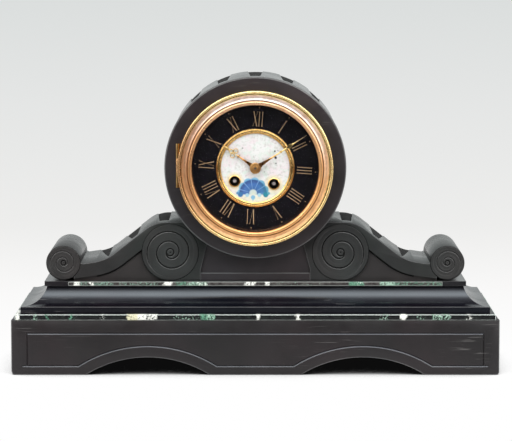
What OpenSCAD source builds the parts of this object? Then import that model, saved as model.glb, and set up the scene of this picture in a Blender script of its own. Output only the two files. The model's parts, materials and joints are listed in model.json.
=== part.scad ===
// Slate mantel clock with a drum head, scroll brackets and a striking movement.
// Millimetres, +Z up, front towards -Y, origin under the middle of the plinth.

/* [Plinth] */
// Width of the plinth
plinth_w = 432; // [410:1:460]
// Depth of the plinth
plinth_d = 150; // [146:1:164]
// Height of the plinth
plinth_h = 48.5; // [46:0.5:60]
// Thickness of the plinth slabs
plinth_t = 12; // [8:0.5:16]
// Distance of each arch from the middle
arch_x = 95.3; // [85:0.1:105]
// Width of an arch at the floor
arch_w = 109.3; // [80:0.1:120]
// Rise of an arch
arch_rise = 15.6; // [10:0.1:18]
// Width of the incised lines
line_w = 1.1; // [0.6:0.1:2]
// Depth of the incised lines
line_deep = 0.8; // [0.4:0.1:1.5]
// Inset of the incised frame from the plinth ends
frame_inset = 14; // [8:1:24]
// Height of the incised top line
frame_top = 35.7; // [32:0.1:42]
// Height of the incised bottom line
frame_low = 6.8; // [4:0.1:9]
// Gap between an arch and the line over it
arch_line_gap = 9.4; // [5:0.1:12]

/* [Mouldings] */
// Height of the slab on the plinth
low_slab_h = 5; // [4:0.1:8]
// Step back of that slab from the plinth
low_slab_step = 2.4; // [1:0.1:5]
// Depth of the marble strip round that slab
strip_d = 5; // [3:0.1:8]
// Step back of the moulding from the slab
mould_step = 5.6; // [3:0.1:8]
// Height of the fillet under the hollow moulding
fillet_h = 6.2; // [4:0.1:9]
// Width of the hollow moulding
hollow_w = 22; // [16:0.5:26]
// Height of the hollow moulding
hollow_h = 15.9; // [12:0.1:20]
// Radius of the hollow moulding
hollow_r = 20; // [18:0.5:30]
// Overhang of the top slab over the hollow moulding
top_slab_over = 2.2; // [1:0.1:4]
// Thickness of the top slab
top_slab_t = 4.4; // [3:0.1:7]
// Length of the marble inlay in the top slab
inlay_w = 334; // [280:1:350]
// Depth of the marble inlay in the top slab
inlay_d = 3; // [2:0.1:6]

/* [Scrolls] */
// Distance of the large volute from the middle
volute_x = 76; // [74:0.1:80]
// Height of the large volute over the top slab
volute_z = 25.6; // [24.5:0.1:28]
// Radius of the large volute
volute_r = 25.6; // [22:0.1:25.6]
// Distance of the small volute from the middle
roll_x = 171.5; // [165:0.1:176]
// Radius of the small volute
roll_r = 15.4; // [12:0.1:17]
// Radius of the crest over the large volute
crest_r = 29.9; // [28.5:0.1:31]
// Height of the crest over the top slab
crest_h = 52.6; // [50:0.1:55]
// Slope of the scroll in degrees
slope = 38; // [34:0.5:42]
// Length of the straight slope
slope_len = 35; // [28:0.5:40]
// Radius of the hollow at the foot of the slope
foot_r = 40; // [30:1:50]
// Slope of the scroll beside the small volute
foot_slope = 8; // [4:0.5:14]
// Width of the raised scroll band
band_w = 12; // [8:0.5:14]
// Relief of the scroll band
band_deep = 2; // [1:0.1:3]
// Depth of the scrolls, front to back
scroll_d = 94; // [88:1:100]
// Step back of the scrolls from the top slab
scroll_step = 3; // [1:0.1:6]
// Width of the recess between the scrolls at the foot
recess_w = 98; // [96:0.5:104]
// Width of the recess between the scrolls under the drum
recess_top_w = 86; // [80:0.5:94]
// Thickness of the body panels
panel_t = 12; // [8:0.5:14]
// Height of the sill of the front panel
sill_h = 6.8; // [4:0.1:10]

/* [Drum] */
// Radius of the drum
drum_r = 80.7; // [78:0.1:86]
// Height of the lowest point of the drum over the top slab
drum_low = 21.3; // [20.5:0.1:28]
// Depth of the drum
drum_d = 104; // [102:1:112]
// Thickness of the front ring of the drum
front_ring_t = 14; // [10:0.5:16]
// Thickness of the back ring of the drum
back_ring_t = 14; // [10:0.5:16]
// Width of the front ring, from the rim to the opening
front_ring_w = 18.7; // [17:0.1:19.4]
// Thickness of the drum wall
drum_wall = 14.7; // [11:0.1:16]
// Number of matt fields round the drum
field_count = 9; // [5:1:11]
// Angle between matt fields
field_step = 21; // [19:0.5:24]
// Depth of the matt fields
field_deep = 0.8; // [0.4:0.1:1.5]

/* [Bezel] */
// Width of the stone left bare round the bezel
bare_w = 11.8; // [10:0.1:13.2]
// Width of the bezel, from its rim to the sight opening
bezel_w = 12.7; // [12:0.1:14]
// Height of the bezel over the drum face
bezel_h = 10; // [9:0.1:12]
// Thickness of the glass
glass_t = 1.8; // [1.2:0.1:2.2]
// Length of the bezel hinge
hinge_len = 39; // [24:1:48]
// Radius of the bezel's hinge barrel
bezel_barrel_r = 1.5; // [1.3:0.1:1.8]
// Radius of the hinge pins
hinge_pin_r = 0.9; // [0.6:0.1:1]

/* [Dial] */
// Radius of the enamel centre
enamel_r = 30.4; // [28:0.1:31]
// Width of the gilt ring round the enamel
gilt_ring_w = 4.3; // [3:0.1:5]
// Gap between the gilt ring and the numerals
numeral_gap = 2.1; // [1.3:0.1:3]
// Share of the chapter ring that the numerals fill
numeral_share = 0.573; // [0.5:0.001:0.6]
// Thickness of the numeral strokes
stroke_w = 1.1; // [0.7:0.1:1.4]
// Gap between the numerals and the middle of the hour dots
dot_gap = 3.2; // [2:0.1:3.6]
// Turn of the movement and dial in the case, in degrees
movement_turn = 4; // [0:0.5:6]
// Distance between the winding holes
wind_gap = 34.9; // [34.6:0.1:37]
// Drop of the winding holes under the middle
wind_drop = 13; // [12:0.1:14.5]
// Radius of a winding hole
wind_r = 4.35; // [4:0.05:4.8]

/* [Hands] */
// Gap between the tip of the minute hand and the sight opening
minute_gap = 2.2; // [1.2:0.1:10]
// Length of the hour hand
hour_len = 35; // [28:0.5:38]
// Direction of the minute hand at rest, in degrees past twelve
minute_at = 57.2; // [0:0.1:359]
// Direction of the hour hand at rest, in degrees past twelve
hour_at = 305.2; // [0:0.1:359]
// Thickness of the hands
hand_t = 0.9; // [0.6:0.1:1.2]

/* [Movement] */
// Radius of the movement plates
plate_r = 42; // [41:0.5:46]
// Thickness of the movement plates
plate_t = 2.5; // [2:0.1:3]
// Distance between the movement plates
plate_gap = 40; // [40:0.5:44]
// Gap between the dial plate and the front plate
motion_gap = 12; // [12:0.1:14]
// Radius of the barrels
barrel_r = 15.5; // [13:0.1:15.8]
// Length of the barrels
barrel_len = 18; // [12:0.5:18.5]
// Width across the winding squares
square_w = 3.8; // [3:0.1:4.4]
// Radius of the pivots
pivot_r = 0.4; // [0.3:0.05:0.45]
// Radius of the wheel arbors
arbor_r = 0.9; // [0.8:0.05:1]
// Radius of the pendulum bob
bob_r = 17; // [12:0.5:17.5]
// Thickness of the pendulum bob
bob_t = 9; // [6:0.5:12]
// Gap between the pendulum bob and the top slab
bob_clear = 5.3; // [5:0.1:12]
// Swing of the pendulum to each side, in degrees
swing = 4; // [1:0.5:5]
// Radius of the bell
bell_r = 24; // [20:0.5:25]
// Depth of the bell
bell_d = 17; // [12:0.5:18]

/* [Rear door] */
// Step from the opening of the drum in to the rear door
door_step = 9.5; // [9:0.5:14]
// Thickness of the rear door
door_t = 1.6; // [1:0.1:2.4]
// Thickness of the door frame
door_frame_t = 1.5; // [1:0.1:2.4]
// Radius of the door's hinge barrel
door_barrel_r = 2.2; // [1.8:0.1:2.4]
// Length of the door hinge
door_hinge_len = 24; // [18:1:28]

/* [Hidden] */
$fn = 96;

// Small clearances between pieces
fit = 0.05;
seat_gap = 0.1;
play = 0.3;

// Levels up the case
low_slab_top = plinth_h + low_slab_h;
fillet_top = low_slab_top + fillet_h;
hollow_top = fillet_top + hollow_h;
slab_top = hollow_top + top_slab_t;

// Half widths and front faces, from the plinth inwards
plinth_x = plinth_w / 2;
plinth_y = plinth_d / 2;
low_slab_x = plinth_x - low_slab_step - 0.9;
low_slab_y = plinth_y - low_slab_step;
mould_x = low_slab_x - mould_step + 0.9;
mould_y = low_slab_y - mould_step;
slab_x = mould_x - hollow_w + top_slab_over;
slab_y = mould_y - hollow_w + top_slab_over;
slab_back = mould_y - 5;
scroll_y = -slab_y + scroll_step;
panel_y = scroll_y + band_deep;
scroll_back = scroll_y + scroll_d;
panel_back = scroll_back - 2;
drum_back = scroll_back;
drum_y = drum_back - drum_d;
shell_y = drum_y + front_ring_t;
drum_z = slab_top + drum_low + drum_r;
front_hole_r = drum_r - front_ring_w;
shell_in_r = drum_r - drum_wall;
bezel_r = drum_r - bare_w;
sight_r = bezel_r - bezel_w;
shell_back = drum_back - back_ring_t;

// Arches of the plinth
arch_r = (pow(arch_w / 2, 2) + pow(arch_rise, 2)) / (2 * arch_rise);
arch_zc = arch_rise - arch_r;

// Scroll outline, measured on the right-hand side
volute_c = [volute_x, slab_top + volute_z];
roll_c = [roll_x, slab_top + roll_r + 0.6];
crest_c = [volute_x + 3.5, slab_top + crest_h - crest_r];
function slope_dir(a) = [cos(a), -sin(a)];
function slope_out(a) = [sin(a), cos(a)];
function slope_start(off) = crest_c + (crest_r - off) * slope_out(slope);
function slope_end(off) = slope_start(off) + slope_len * slope_dir(slope);
foot_c = slope_end(0) + foot_r * slope_out(slope);
function foot_end(off) = foot_c - (foot_r + off) * slope_out(foot_slope);
function foot_at(x, off) = foot_end(off)[1] - (x - foot_end(off)[0]) * tan(foot_slope);

// Stations of the dial, front faces and backs along Y
bezel_y = drum_y - bezel_h;
seat_y = drum_y - 3.2;
dial_plate_y = drum_y + 3;
dial_plate_t = 1;
dial_plate_back = dial_plate_y + dial_plate_t;
chapter_y = dial_plate_y - 1.6;
chapter_r = sight_r + 1.2;
gilt_ring_r = enamel_r + gilt_ring_w;
numeral_r = gilt_ring_r + numeral_gap;
numeral_h = numeral_share * (chapter_r - gilt_ring_r);
dot_ring_r = numeral_r + numeral_h + dot_gap;
minute_len = sight_r - minute_gap;
seat_r = bezel_r - 2.9;
glass_r = sight_r + 1.6;
glass_y = bezel_y + 1.6;

// Stations of the movement
front_plate_y = dial_plate_back + motion_gap;
inside_y = front_plate_y + plate_t;
inside_back = inside_y + plate_gap;
back_plate_y = inside_back;
back_face = back_plate_y + plate_t;

// Gearing: leaves and teeth with the module of each pair
great_teeth = 84;
great_leaves = 12;
great_m = 0.40;
second_teeth = 66;
second_leaves = 11;
second_m = 0.36;
centre_teeth = 84;
centre_leaves = 7;
centre_m = 0.30;
third_teeth = 87;
third_leaves = 7;
third_m = 0.25;
escape_teeth = 36;
escape_r = 8.4;
pin_teeth = 72;
pin_leaves = 7;
pin_m = 0.28;
locking_teeth = 60;
locking_leaves = 7;
locking_m = 0.25;
cannon_leaves = 12;
minute_teeth = 36;
minute_m = 0.5;
minute_leaves = 10;
hour_teeth = 40;
hour_m = 0.48;
ratchet_teeth = 24;
ratchet_r = 7.5;
count_r = 11;

function mesh_distance(teeth, leaves, m) = m * (teeth + leaves) / 2;
function polar(a, r) = r * [cos(a), sin(a)];
function circles_meet(a, ra, b, rb) =
    let (d = norm(b - a), u = (b - a) / d, along = (ra * ra - rb * rb + d * d) / (2 * d))
    a + along * u + sqrt(ra * ra - along * along) * [-u[1], u[0]];

// Arbors, measured from the middle of the movement before its turn
centre_at = [0, 0];
going_at = [wind_gap / 2, -wind_drop];
strike_at = [-wind_gap / 2, -wind_drop];
second_at = circles_meet(centre_at, mesh_distance(second_teeth, second_leaves, second_m),
                         going_at, mesh_distance(great_teeth, great_leaves, great_m));
third_at = polar(124.3, mesh_distance(centre_teeth, centre_leaves, centre_m));
escape_at = third_at + [-third_at[0],
    sqrt(pow(mesh_distance(third_teeth, third_leaves, third_m), 2) - pow(third_at[0], 2))];
anchor_rise = escape_r * sqrt(2);
anchor_at = escape_at + [0, anchor_rise];
count_at = strike_at + polar(120, mesh_distance(great_teeth, great_leaves, great_m));
pin_at = count_at + polar(60, mesh_distance(second_teeth, second_leaves, second_m));
locking_at = pin_at + polar(40, mesh_distance(pin_teeth, pin_leaves, pin_m));
fly_at = locking_at + polar(100, mesh_distance(locking_teeth, locking_leaves, locking_m));
minute_wheel_at = [0, mesh_distance(minute_teeth, cannon_leaves, minute_m)];
click_drop = 11.5;
click_reach = [5.4, 5.1];
hammer_at = [-36, 16];
bell_at = [-12, -6];
pillar_r = 2.4;
pillar_at_r = plate_r - 4.5;
pillars_at = [polar(270, pillar_at_r), polar(3, pillar_at_r), polar(54, pillar_at_r), polar(152, plate_r - 3.8)];
dial_feet_at = [for (a = [20, 160, 202, 338]) polar(a, plate_r - 4)];
dial_foot_r = 1.5;

// Levels of the wheels, counted back from the inner face of the front plate
barrel_y = inside_y + 2.5;
great_y = barrel_y + barrel_len;
great_t = 1.8;
second_y = inside_y + 26;
centre_pinion_y = inside_y + 24.4;
centre_y = inside_y + 32;
third_y = inside_y + 23;
escape_y = inside_y + 36;
pin_y = inside_y + 15.5;
locking_y = inside_y + 8.5;
wheel_t = 1.2;
fine_arbor_r = arbor_r * 0.62;

// Suspension, crutch and pendulum behind the back plate
cheek_y = back_face + 5;
cheek_t = 2;
rod_y = cheek_y + cheek_t + 2.5;
rod_r = 0.8;
spring_h = 9;
crutch_y = back_face + 1.2;
crutch_drop = 26;
bob_foot = slab_top + bob_clear;
bob_z = bob_foot + bob_r;
pendulum_len = anchor_world()[1] - bob_z;

function turned(p) = [
    p[0] * cos(movement_turn) + p[1] * sin(movement_turn),
    p[1] * cos(movement_turn) - p[0] * sin(movement_turn)];
function anchor_world() = turned(anchor_at) + [0, drum_z];

// Straps from the dial seat to the back of the drum
strap_r = front_hole_r - 2.9;
strap_w = 12;
strap_t = 1.8;
strap_back = inside_y + 12;
strap_angles = [20, 200];
strap_screw_r = 1.6;
strap_screw_at = strap_r - 3;

// Rear door and its frame
door_r = front_hole_r - door_step;
frame_in_r = door_r - 2;
frame_out_r = front_hole_r + 4;
door_y = drum_back + door_frame_t + 2 * seat_gap;
door_hinge_x = door_r + door_barrel_r + play;
door_hinge_y = door_y + door_t / 2;

// Bezel hinge
bezel_hinge_x = 0.2 - bezel_r;
bezel_hinge_y = seat_y - 0.5;
bezel_hinge_z = drum_z + 2.5;

// Colours
slate = [0.13, 0.12, 0.13];
marble = [0.20, 0.32, 0.24];
gilt = [0.80, 0.62, 0.28];
copper_gilt = [0.82, 0.54, 0.32];
brass = [0.74, 0.60, 0.32];
steel = [0.52, 0.54, 0.57];
enamel = [0.90, 0.88, 0.83];
glass = [0.85, 0.92, 0.92, 0.35];

// A flat outline in X and Z, given a thickness from y back
module plate_xz(y, t) {
    translate([0, y + t, 0]) rotate([90, 0, 0]) linear_extrude(t) children();
}

// A profile of radius and depth, turned about an axis along Y
module lathe() {
    rotate([-90, 0, 0]) rotate_extrude() children();
}

// A rod along Y
module rod(y, back, r) {
    translate([0, y, 0]) rotate([-90, 0, 0]) cylinder(h = back - y, r = r);
}

module ring(y, back, outer, inner) {
    difference() {
        rod(y, back, outer);
        rod(y - 1, back + 1, inner);
    }
}

module at(p) {
    translate([p[0], 0, p[1]]) children();
}

// Pieces of the movement and dial sit in the drum, turned a little
module in_movement() {
    translate([0, 0, drum_z]) rotate([0, movement_turn, 0]) children();
}

module on_drum_axis() {
    translate([0, 0, drum_z]) children();
}

// Straight-sided teeth: each is narrower than its space, so that a pair runs free
function tooth_points(teeth, root_r, tip_r, root_share, tip_share, start) =
    let (tooth = [[-root_share, root_r], [-tip_share, tip_r], [tip_share, tip_r], [root_share, root_r]])
    [for (i = [0:teeth - 1], c = tooth) polar(start + (i + c[0]) * 360 / teeth, c[1])];

// A wheel whose first tooth points along the angle start
function wheel_points(teeth, m, start) =
    tooth_points(teeth, m * teeth / 2 - 1.15 * m, m * teeth / 2 + 0.75 * m, 0.25, 0.12, start);

// A pinion with a space along the angle start
function pinion_points(leaves, m, start) =
    tooth_points(leaves, m * leaves / 2 - 1.1 * m, m * leaves / 2 + 0.5 * m, 0.15, 0.10, start + 180 / leaves);

// A spoked wheel with straight-edged windows
module spoked(points, rim_r, hub_r, spokes, bar) {
    difference() {
        polygon(points);
        for (k = [0:spokes - 1]) {
            half = 180 / spokes;
            out_a = half - asin(bar / 2 / rim_r);
            in_a = half - asin(bar / 2 / hub_r);
            polygon(concat(
                [for (s = [-1:0.5:1]) polar((k + 0.5) * 360 / spokes + s * out_a, rim_r)],
                [for (s = [1:-1:-1]) polar((k + 0.5) * 360 / spokes + s * in_a, hub_r)]));
        }
    }
}

module train_wheel(y, teeth, m, start, hub_r, spokes) {
    plate_xz(y, wheel_t)
        spoked(wheel_points(teeth, m, start), m * teeth / 2 - 1.15 * m - 1.1, hub_r, spokes, 1.3);
}

module pinion(y, back, leaves, m, start) {
    plate_xz(y, back - y) polygon(pinion_points(leaves, m, start));
}

// An arbor between the plates, with a pivot in each
module arbor(r) {
    front = inside_y + play;
    back = inside_back - play;
    rod(front, back, r);
    rod(front_plate_y + play, front + fit, pivot_r);
    rod(back - fit, back_face - play, pivot_r);
}

// Angle of the line from one arbor to another
function towards(a, b) = atan2(b[1] - a[1], b[0] - a[0]);

// Plinth

module arch_cut(grow) {
    for (s = [-1, 1]) translate([s * arch_x, arch_zc]) circle(r = arch_r + grow, $fn = 180);
}

module incised_lines() {
    half = line_w / 2;
    frame_x = plinth_x - frame_inset;
    run_out = 4;
    difference() {
        union() {
            intersection() {
                difference() {
                    arch_cut(arch_line_gap + half);
                    arch_cut(arch_line_gap - half);
                }
                translate([-plinth_x, frame_low - half]) square([plinth_w, frame_top]);
            }
            translate([-frame_x - run_out, frame_low - half]) square([2 * (frame_x + run_out), line_w]);
        }
        difference() {
            arch_cut(arch_line_gap - half);
            translate([-plinth_x, frame_low + half]) square([plinth_w, frame_top]);
        }
    }
    translate([-frame_x, frame_top - half]) square([2 * frame_x, line_w]);
    for (s = [-1, 1]) translate([s * frame_x - half, frame_low]) square([line_w, frame_top - frame_low]);
}

module plinth_front() {
    color(slate) difference() {
        plate_xz(-plinth_y, plinth_t) difference() {
            translate([-plinth_x, 0]) square([plinth_w, plinth_h]);
            arch_cut(0);
        }
        plate_xz(-plinth_y - 1, 1 + line_deep) incised_lines();
    }
}

module plinth_back() {
    color(slate) plate_xz(plinth_y - plinth_t, plinth_t)
        translate([-plinth_x, 0]) square([plinth_w, plinth_h]);
}

module plinth_sides() {
    color(slate) for (s = [-1, 1])
        translate([s * (plinth_x - plinth_t / 2) - plinth_t / 2, plinth_t - plinth_y, 0])
            cube([plinth_t, plinth_d - 2 * plinth_t, plinth_h]);
}

// Slabs and mouldings

module lower_slab() {
    color(slate) translate([strip_d - low_slab_x, strip_d - low_slab_y, plinth_h])
        cube([2 * (low_slab_x - strip_d), 2 * low_slab_y - strip_d, low_slab_h]);
}

module marble_strips() {
    inner_x = low_slab_x - strip_d;
    color(marble) {
        translate([-low_slab_x, -low_slab_y, plinth_h]) cube([2 * low_slab_x, strip_d, low_slab_h]);
        for (s = [-1, 1]) translate([s > 0 ? inner_x : -low_slab_x, strip_d - low_slab_y, plinth_h])
            cube([strip_d, 2 * low_slab_y - strip_d, low_slab_h]);
        translate([-inlay_w / 2, -slab_y, hollow_top + 0.3]) cube([inlay_w, inlay_d, top_slab_t - 0.8]);
    }
}

// Half section of the moulding: edge at the fillet, rising inwards in a hollow
module hollow_section(edge, far) {
    foot = [edge, fillet_top];
    head = [edge + hollow_w, hollow_top];
    mid = (foot + head) / 2;
    half = norm(head - foot) / 2;
    across = [head[1] - foot[1], foot[0] - head[0]] / (2 * half);
    difference() {
        polygon([[edge, low_slab_top], foot, head, [far, hollow_top], [far, low_slab_top]]);
        translate(mid - across * sqrt(hollow_r * hollow_r - half * half)) circle(r = hollow_r, $fn = 180);
    }
}

module hollow_moulding() {
    color(slate) intersection() {
        translate([-plinth_x, 0, 0]) rotate([90, 0, 90]) linear_extrude(plinth_w)
            hollow_section(-mould_y, mould_y);
        plate_xz(-plinth_y, plinth_d) {
            hollow_section(-mould_x, 1);
            mirror([1, 0]) hollow_section(-mould_x, 1);
        }
    }
}

module upper_slab() {
    color(slate) difference() {
        translate([-slab_x, -slab_y, hollow_top]) cube([2 * slab_x, slab_y + slab_back, top_slab_t]);
        translate([-inlay_w / 2, -slab_y - 1, hollow_top + 0.3])
            cube([inlay_w, inlay_d + 1, top_slab_t - 0.8]);
    }
}

// Body between the scrolls

module recess_outline(grow) {
    top = drum_z - sqrt(pow(drum_r, 2) - pow(recess_top_w / 2, 2));
    polygon([
        [-recess_w / 2 - grow, slab_top], [-recess_w / 2 - grow, slab_top + sill_h + 3],
        [-recess_top_w / 2 - grow, top], [recess_top_w / 2 + grow, top],
        [recess_w / 2 + grow, slab_top + sill_h + 3], [recess_w / 2 + grow, slab_top]]);
}

module body_panel(y) {
    plate_xz(y, panel_t) difference() {
        recess_outline(-fit);
        translate([0, drum_z]) circle(r = drum_r + seat_gap, $fn = 180);
    }
}

module body_front_panel() {
    color(slate) {
        body_panel(panel_y);
        translate([-recess_w / 2 + fit, scroll_y, slab_top])
            cube([recess_w - 2 * fit, band_deep + 1, sill_h]);
    }
}

module body_back_panel() {
    color(slate) body_panel(panel_back - panel_t);
}

// Region under the sloping top of a scroll, lowered by off
module under_slope(off, from_x) {
    end_x = roll_c[0] - roll_r * 0.6;
    difference() {
        polygon([
            [from_x, slab_top], [from_x, crest_c[1] + crest_r - off],
            [crest_c[0], crest_c[1] + crest_r - off], slope_start(off), slope_end(off), foot_end(off),
            [end_x, foot_at(end_x, off)], [end_x, slab_top]]);
        translate(foot_c) circle(r = foot_r + off, $fn = 180);
    }
}

module crest_cap(off) {
    intersection() {
        translate(crest_c) circle(r = crest_r - off, $fn = 180);
        translate([crest_c[0], slab_top]) square([crest_r, crest_h]);
    }
}

module scroll_outline(off) {
    difference() {
        union() {
            under_slope(off, recess_top_w / 2);
            crest_cap(off);
            translate([recess_w / 2, slab_top]) square([crest_c[0] - recess_w / 2, crest_h / 2]);
            translate(roll_c) circle(r = roll_r, $fn = 180);
        }
        recess_outline(0);
        translate([0, drum_z]) circle(r = drum_r + seat_gap, $fn = 180);
    }
}

module spandrel() {
    difference() {
        under_slope(band_w, volute_c[0]);
        translate(volute_c) circle(r = volute_r, $fn = 180);
        translate(roll_c) circle(r = roll_r, $fn = 180);
    }
}

// Half turns that close in on the eye of a volute
module spiral_groove(c, start_r, turns, step) {
    translate([c[0], scroll_y, c[1]]) for (k = [0:turns - 1]) {
        r = start_r - k * step;
        side = k % 2 == 0 ? 1 : -1;
        translate([side * step / 2, 0, 0]) rotate([-90, 0, 0]) rotate([0, 0, k % 2 * 180])
            rotate_extrude(angle = 180) translate([r - line_w / 2, -1]) square([line_w, 1 + line_deep]);
    }
    translate([c[0], 0, c[1]]) ring(scroll_y - 1, scroll_y + line_deep, start_r - turns * step + 1.6,
        start_r - turns * step + 0.7);
}

// Matt field in plan: its inner side runs straight back, its outer side flares
module field_plan(x, front_w, back_w, front_y) {
    translate([0, 0, slab_top]) linear_extrude(crest_h + 10)
        polygon([[x, front_y], [x, scroll_back + 1], [x + back_w, scroll_back + 1], [x + front_w, front_y]]);
}

module scroll() {
    difference() {
        union() {
            plate_xz(panel_y, scroll_back - panel_y) scroll_outline(0);
            plate_xz(scroll_y, band_deep + fit) difference() {
                scroll_outline(0);
                spandrel();
            }
        }
        spiral_groove(volute_c, volute_r - 3.8, 4, 4.6);
        spiral_groove(roll_c, roll_r - 3, 3, 3.2);
        intersection() {
            plate_xz(panel_y, scroll_d) difference() {
                scroll_outline(-1);
                scroll_outline(field_deep);
            }
            union() {
                field_plan(crest_c[0] - 2, 8.5, 12.5, scroll_y + 16);
                field_plan(crest_c[0] + 26, 5.3, 13.4, scroll_y + 14);
                field_plan(crest_c[0] + 52, 1, 11.8, scroll_y + 14);
            }
        }
    }
}

module scroll_right() {
    color(slate) scroll();
}

module scroll_left() {
    color(slate) mirror([1, 0, 0]) scroll();
}

// Drum

module drum_fields() {
    front_y = shell_y + 4;
    for (k = [0:field_count - 1]) {
        a = (k - (field_count - 1) / 2) * field_step;
        rotate([0, a, 0]) translate([0, 0, drum_r - 12]) linear_extrude(14)
            polygon([[-4.4, front_y], [-6.9, drum_back + 1], [6.9, drum_back + 1], [4.4, front_y]]);
    }
}

module drum_skin() {
    on_drum_axis() intersection() {
        ring(drum_y, drum_back + 1, drum_r + 1, drum_r - field_deep);
        drum_fields();
    }
}

module drum_front_ring() {
    color(slate) on_drum_axis() lathe() polygon([
        [front_hole_r, drum_y], [drum_r - 1, drum_y], [drum_r, drum_y + 1],
        [drum_r, shell_y], [front_hole_r, shell_y]]);
}

module drum_shell() {
    slot_w = 2 * (bob_r + pendulum_len * sin(swing) + 8);
    color(slate) difference() {
        on_drum_axis() ring(shell_y, shell_back, drum_r, shell_in_r);
        drum_skin();
        translate([-slot_w / 2, rod_y - bob_t / 2 - 4, slab_top])
            cube([slot_w, bob_t + 8, drum_z - slab_top - shell_in_r / 2]);
    }
}

module drum_back_ring() {
    color(slate) difference() {
        on_drum_axis() ring(shell_back, drum_back, drum_r, front_hole_r);
        drum_skin();
    }
}

// Bezel and glass

module hinge_knuckles(x, y, z, length, r, moving) {
    step = length / 3;
    translate([x, y, z - length / 2]) for (k = [0:2]) if ((k == 1) == moving) {
        gap = k > 0 ? seat_gap : 0;
        translate([0, 0, k * step + gap]) cylinder(h = step - gap, r = r);
    }
}

module hinge_bore(x, y, z, length) {
    translate([x, y, z - length / 2 - 1]) cylinder(h = length + 2, r = hinge_pin_r + fit);
}

// A leaf from a knuckle to the piece that carries it
module hinge_leaf(x0, x1, y0, y1, z, length, part) {
    step = length / 3;
    translate([min(x0, x1), y0, z - length / 2 + part * step + seat_gap])
        cube([abs(x1 - x0), y1 - y0, step - 2 * seat_gap]);
}

module bezel_seat() {
    lip = 1.5;
    color(gilt) difference() {
        union() {
            on_drum_axis() lathe() polygon([
                [chapter_r + seat_gap, seat_y], [seat_r - 0.6, seat_y], [seat_r, seat_y + 0.6],
                [seat_r, drum_y], [front_hole_r - seat_gap, drum_y],
                [front_hole_r - seat_gap, dial_plate_back + 4],
                [chapter_r - 2, dial_plate_back + 4], [chapter_r - 2, dial_plate_back],
                [chapter_r + seat_gap, dial_plate_back]]);
            hinge_knuckles(bezel_hinge_x, bezel_hinge_y, bezel_hinge_z, hinge_len, bezel_barrel_r, false);
            for (part = [0, 2])
                hinge_leaf(bezel_hinge_x, lip - seat_r, seat_y + seat_gap, drum_y - seat_gap,
                    bezel_hinge_z, hinge_len, part);
        }
        hinge_bore(bezel_hinge_x, bezel_hinge_y, bezel_hinge_z, hinge_len);
    }
}

module bezel_ring() {
    base = seat_y - seat_gap;
    notch = bezel_barrel_r + play;
    color(gilt) difference() {
        union() {
            difference() {
                on_drum_axis() lathe() difference() {
                    union() {
                        polygon([
                            [glass_r + seat_gap, base], [bezel_r - 0.4, base], [bezel_r, base - 0.4],
                            [bezel_r, bezel_y + 2], [bezel_r - 4.6, bezel_y + 3.4], [sight_r + 4.2, bezel_y + 1.6],
                            [sight_r, bezel_y + 1.2], [sight_r, glass_y], [glass_r + seat_gap, glass_y]]);
                        translate([bezel_r - 1.9, bezel_y + 2]) circle(r = 1.9, $fn = 48);
                        translate([sight_r + 2.2, bezel_y + 1.8]) circle(r = 1.8, $fn = 48);
                    }
                    translate([bezel_r - 6.6, bezel_y - 1.8]) circle(r = 4.6, $fn = 48);
                    translate([0, glass_y]) square([glass_r + seat_gap, bezel_h]);
                }
                translate([-bezel_r - 5, bezel_hinge_y - notch, bezel_hinge_z - hinge_len / 2 - play])
                    cube([bezel_hinge_x + notch + bezel_r + 5, 2 * notch, hinge_len + 2 * play]);
            }
            hinge_knuckles(bezel_hinge_x, bezel_hinge_y, bezel_hinge_z, hinge_len, bezel_barrel_r, true);
            hinge_leaf(bezel_hinge_x, bezel_hinge_x + notch + 1, bezel_hinge_y - notch - 0.6, base,
                bezel_hinge_z, hinge_len, 1);
        }
        hinge_bore(bezel_hinge_x, bezel_hinge_y, bezel_hinge_z, hinge_len);
    }
}

module sight_ring() {
    color(copper_gilt) on_drum_axis() lathe() polygon([
        [sight_r, glass_y + glass_t + 2 * fit], [glass_r, glass_y + glass_t + 2 * fit], [glass_r, seat_y - 0.4],
        [sight_r + 0.7, seat_y - 0.4], [sight_r, glass_y + glass_t + 1.2]]);
}

module bezel_glass() {
    color(glass) on_drum_axis() lathe() polygon([
        [0, glass_y + fit], [sight_r - 3, glass_y + fit], [glass_r, glass_y + fit + 0.6],
        [glass_r, glass_y + fit + glass_t], [0, glass_y + fit + glass_t]]);
}

module hinge_pins() {
    color(gilt) {
        translate([bezel_hinge_x, bezel_hinge_y, bezel_hinge_z - hinge_len / 2])
            cylinder(h = hinge_len, r = hinge_pin_r);
        translate([door_hinge_x, door_hinge_y, drum_z - door_hinge_len / 2])
            cylinder(h = door_hinge_len, r = hinge_pin_r);
    }
}

// Dial

module dial_holes(hole_r) {
    rod(chapter_y - 5, dial_plate_back + 5, 3.4);
    for (p = [going_at, strike_at]) at(p) rod(chapter_y - 5, dial_plate_back + 5, hole_r);
}

module dial_plate() {
    color(brass) in_movement() {
        difference() {
            rod(dial_plate_y, dial_plate_back, chapter_r);
            dial_holes(wind_r);
        }
        for (p = dial_feet_at) at(p) rod(dial_plate_back, front_plate_y, dial_foot_r);
    }
}

module chapter_ring() {
    color(slate) in_movement() ring(chapter_y, dial_plate_y, chapter_r, gilt_ring_r + seat_gap);
}

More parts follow.
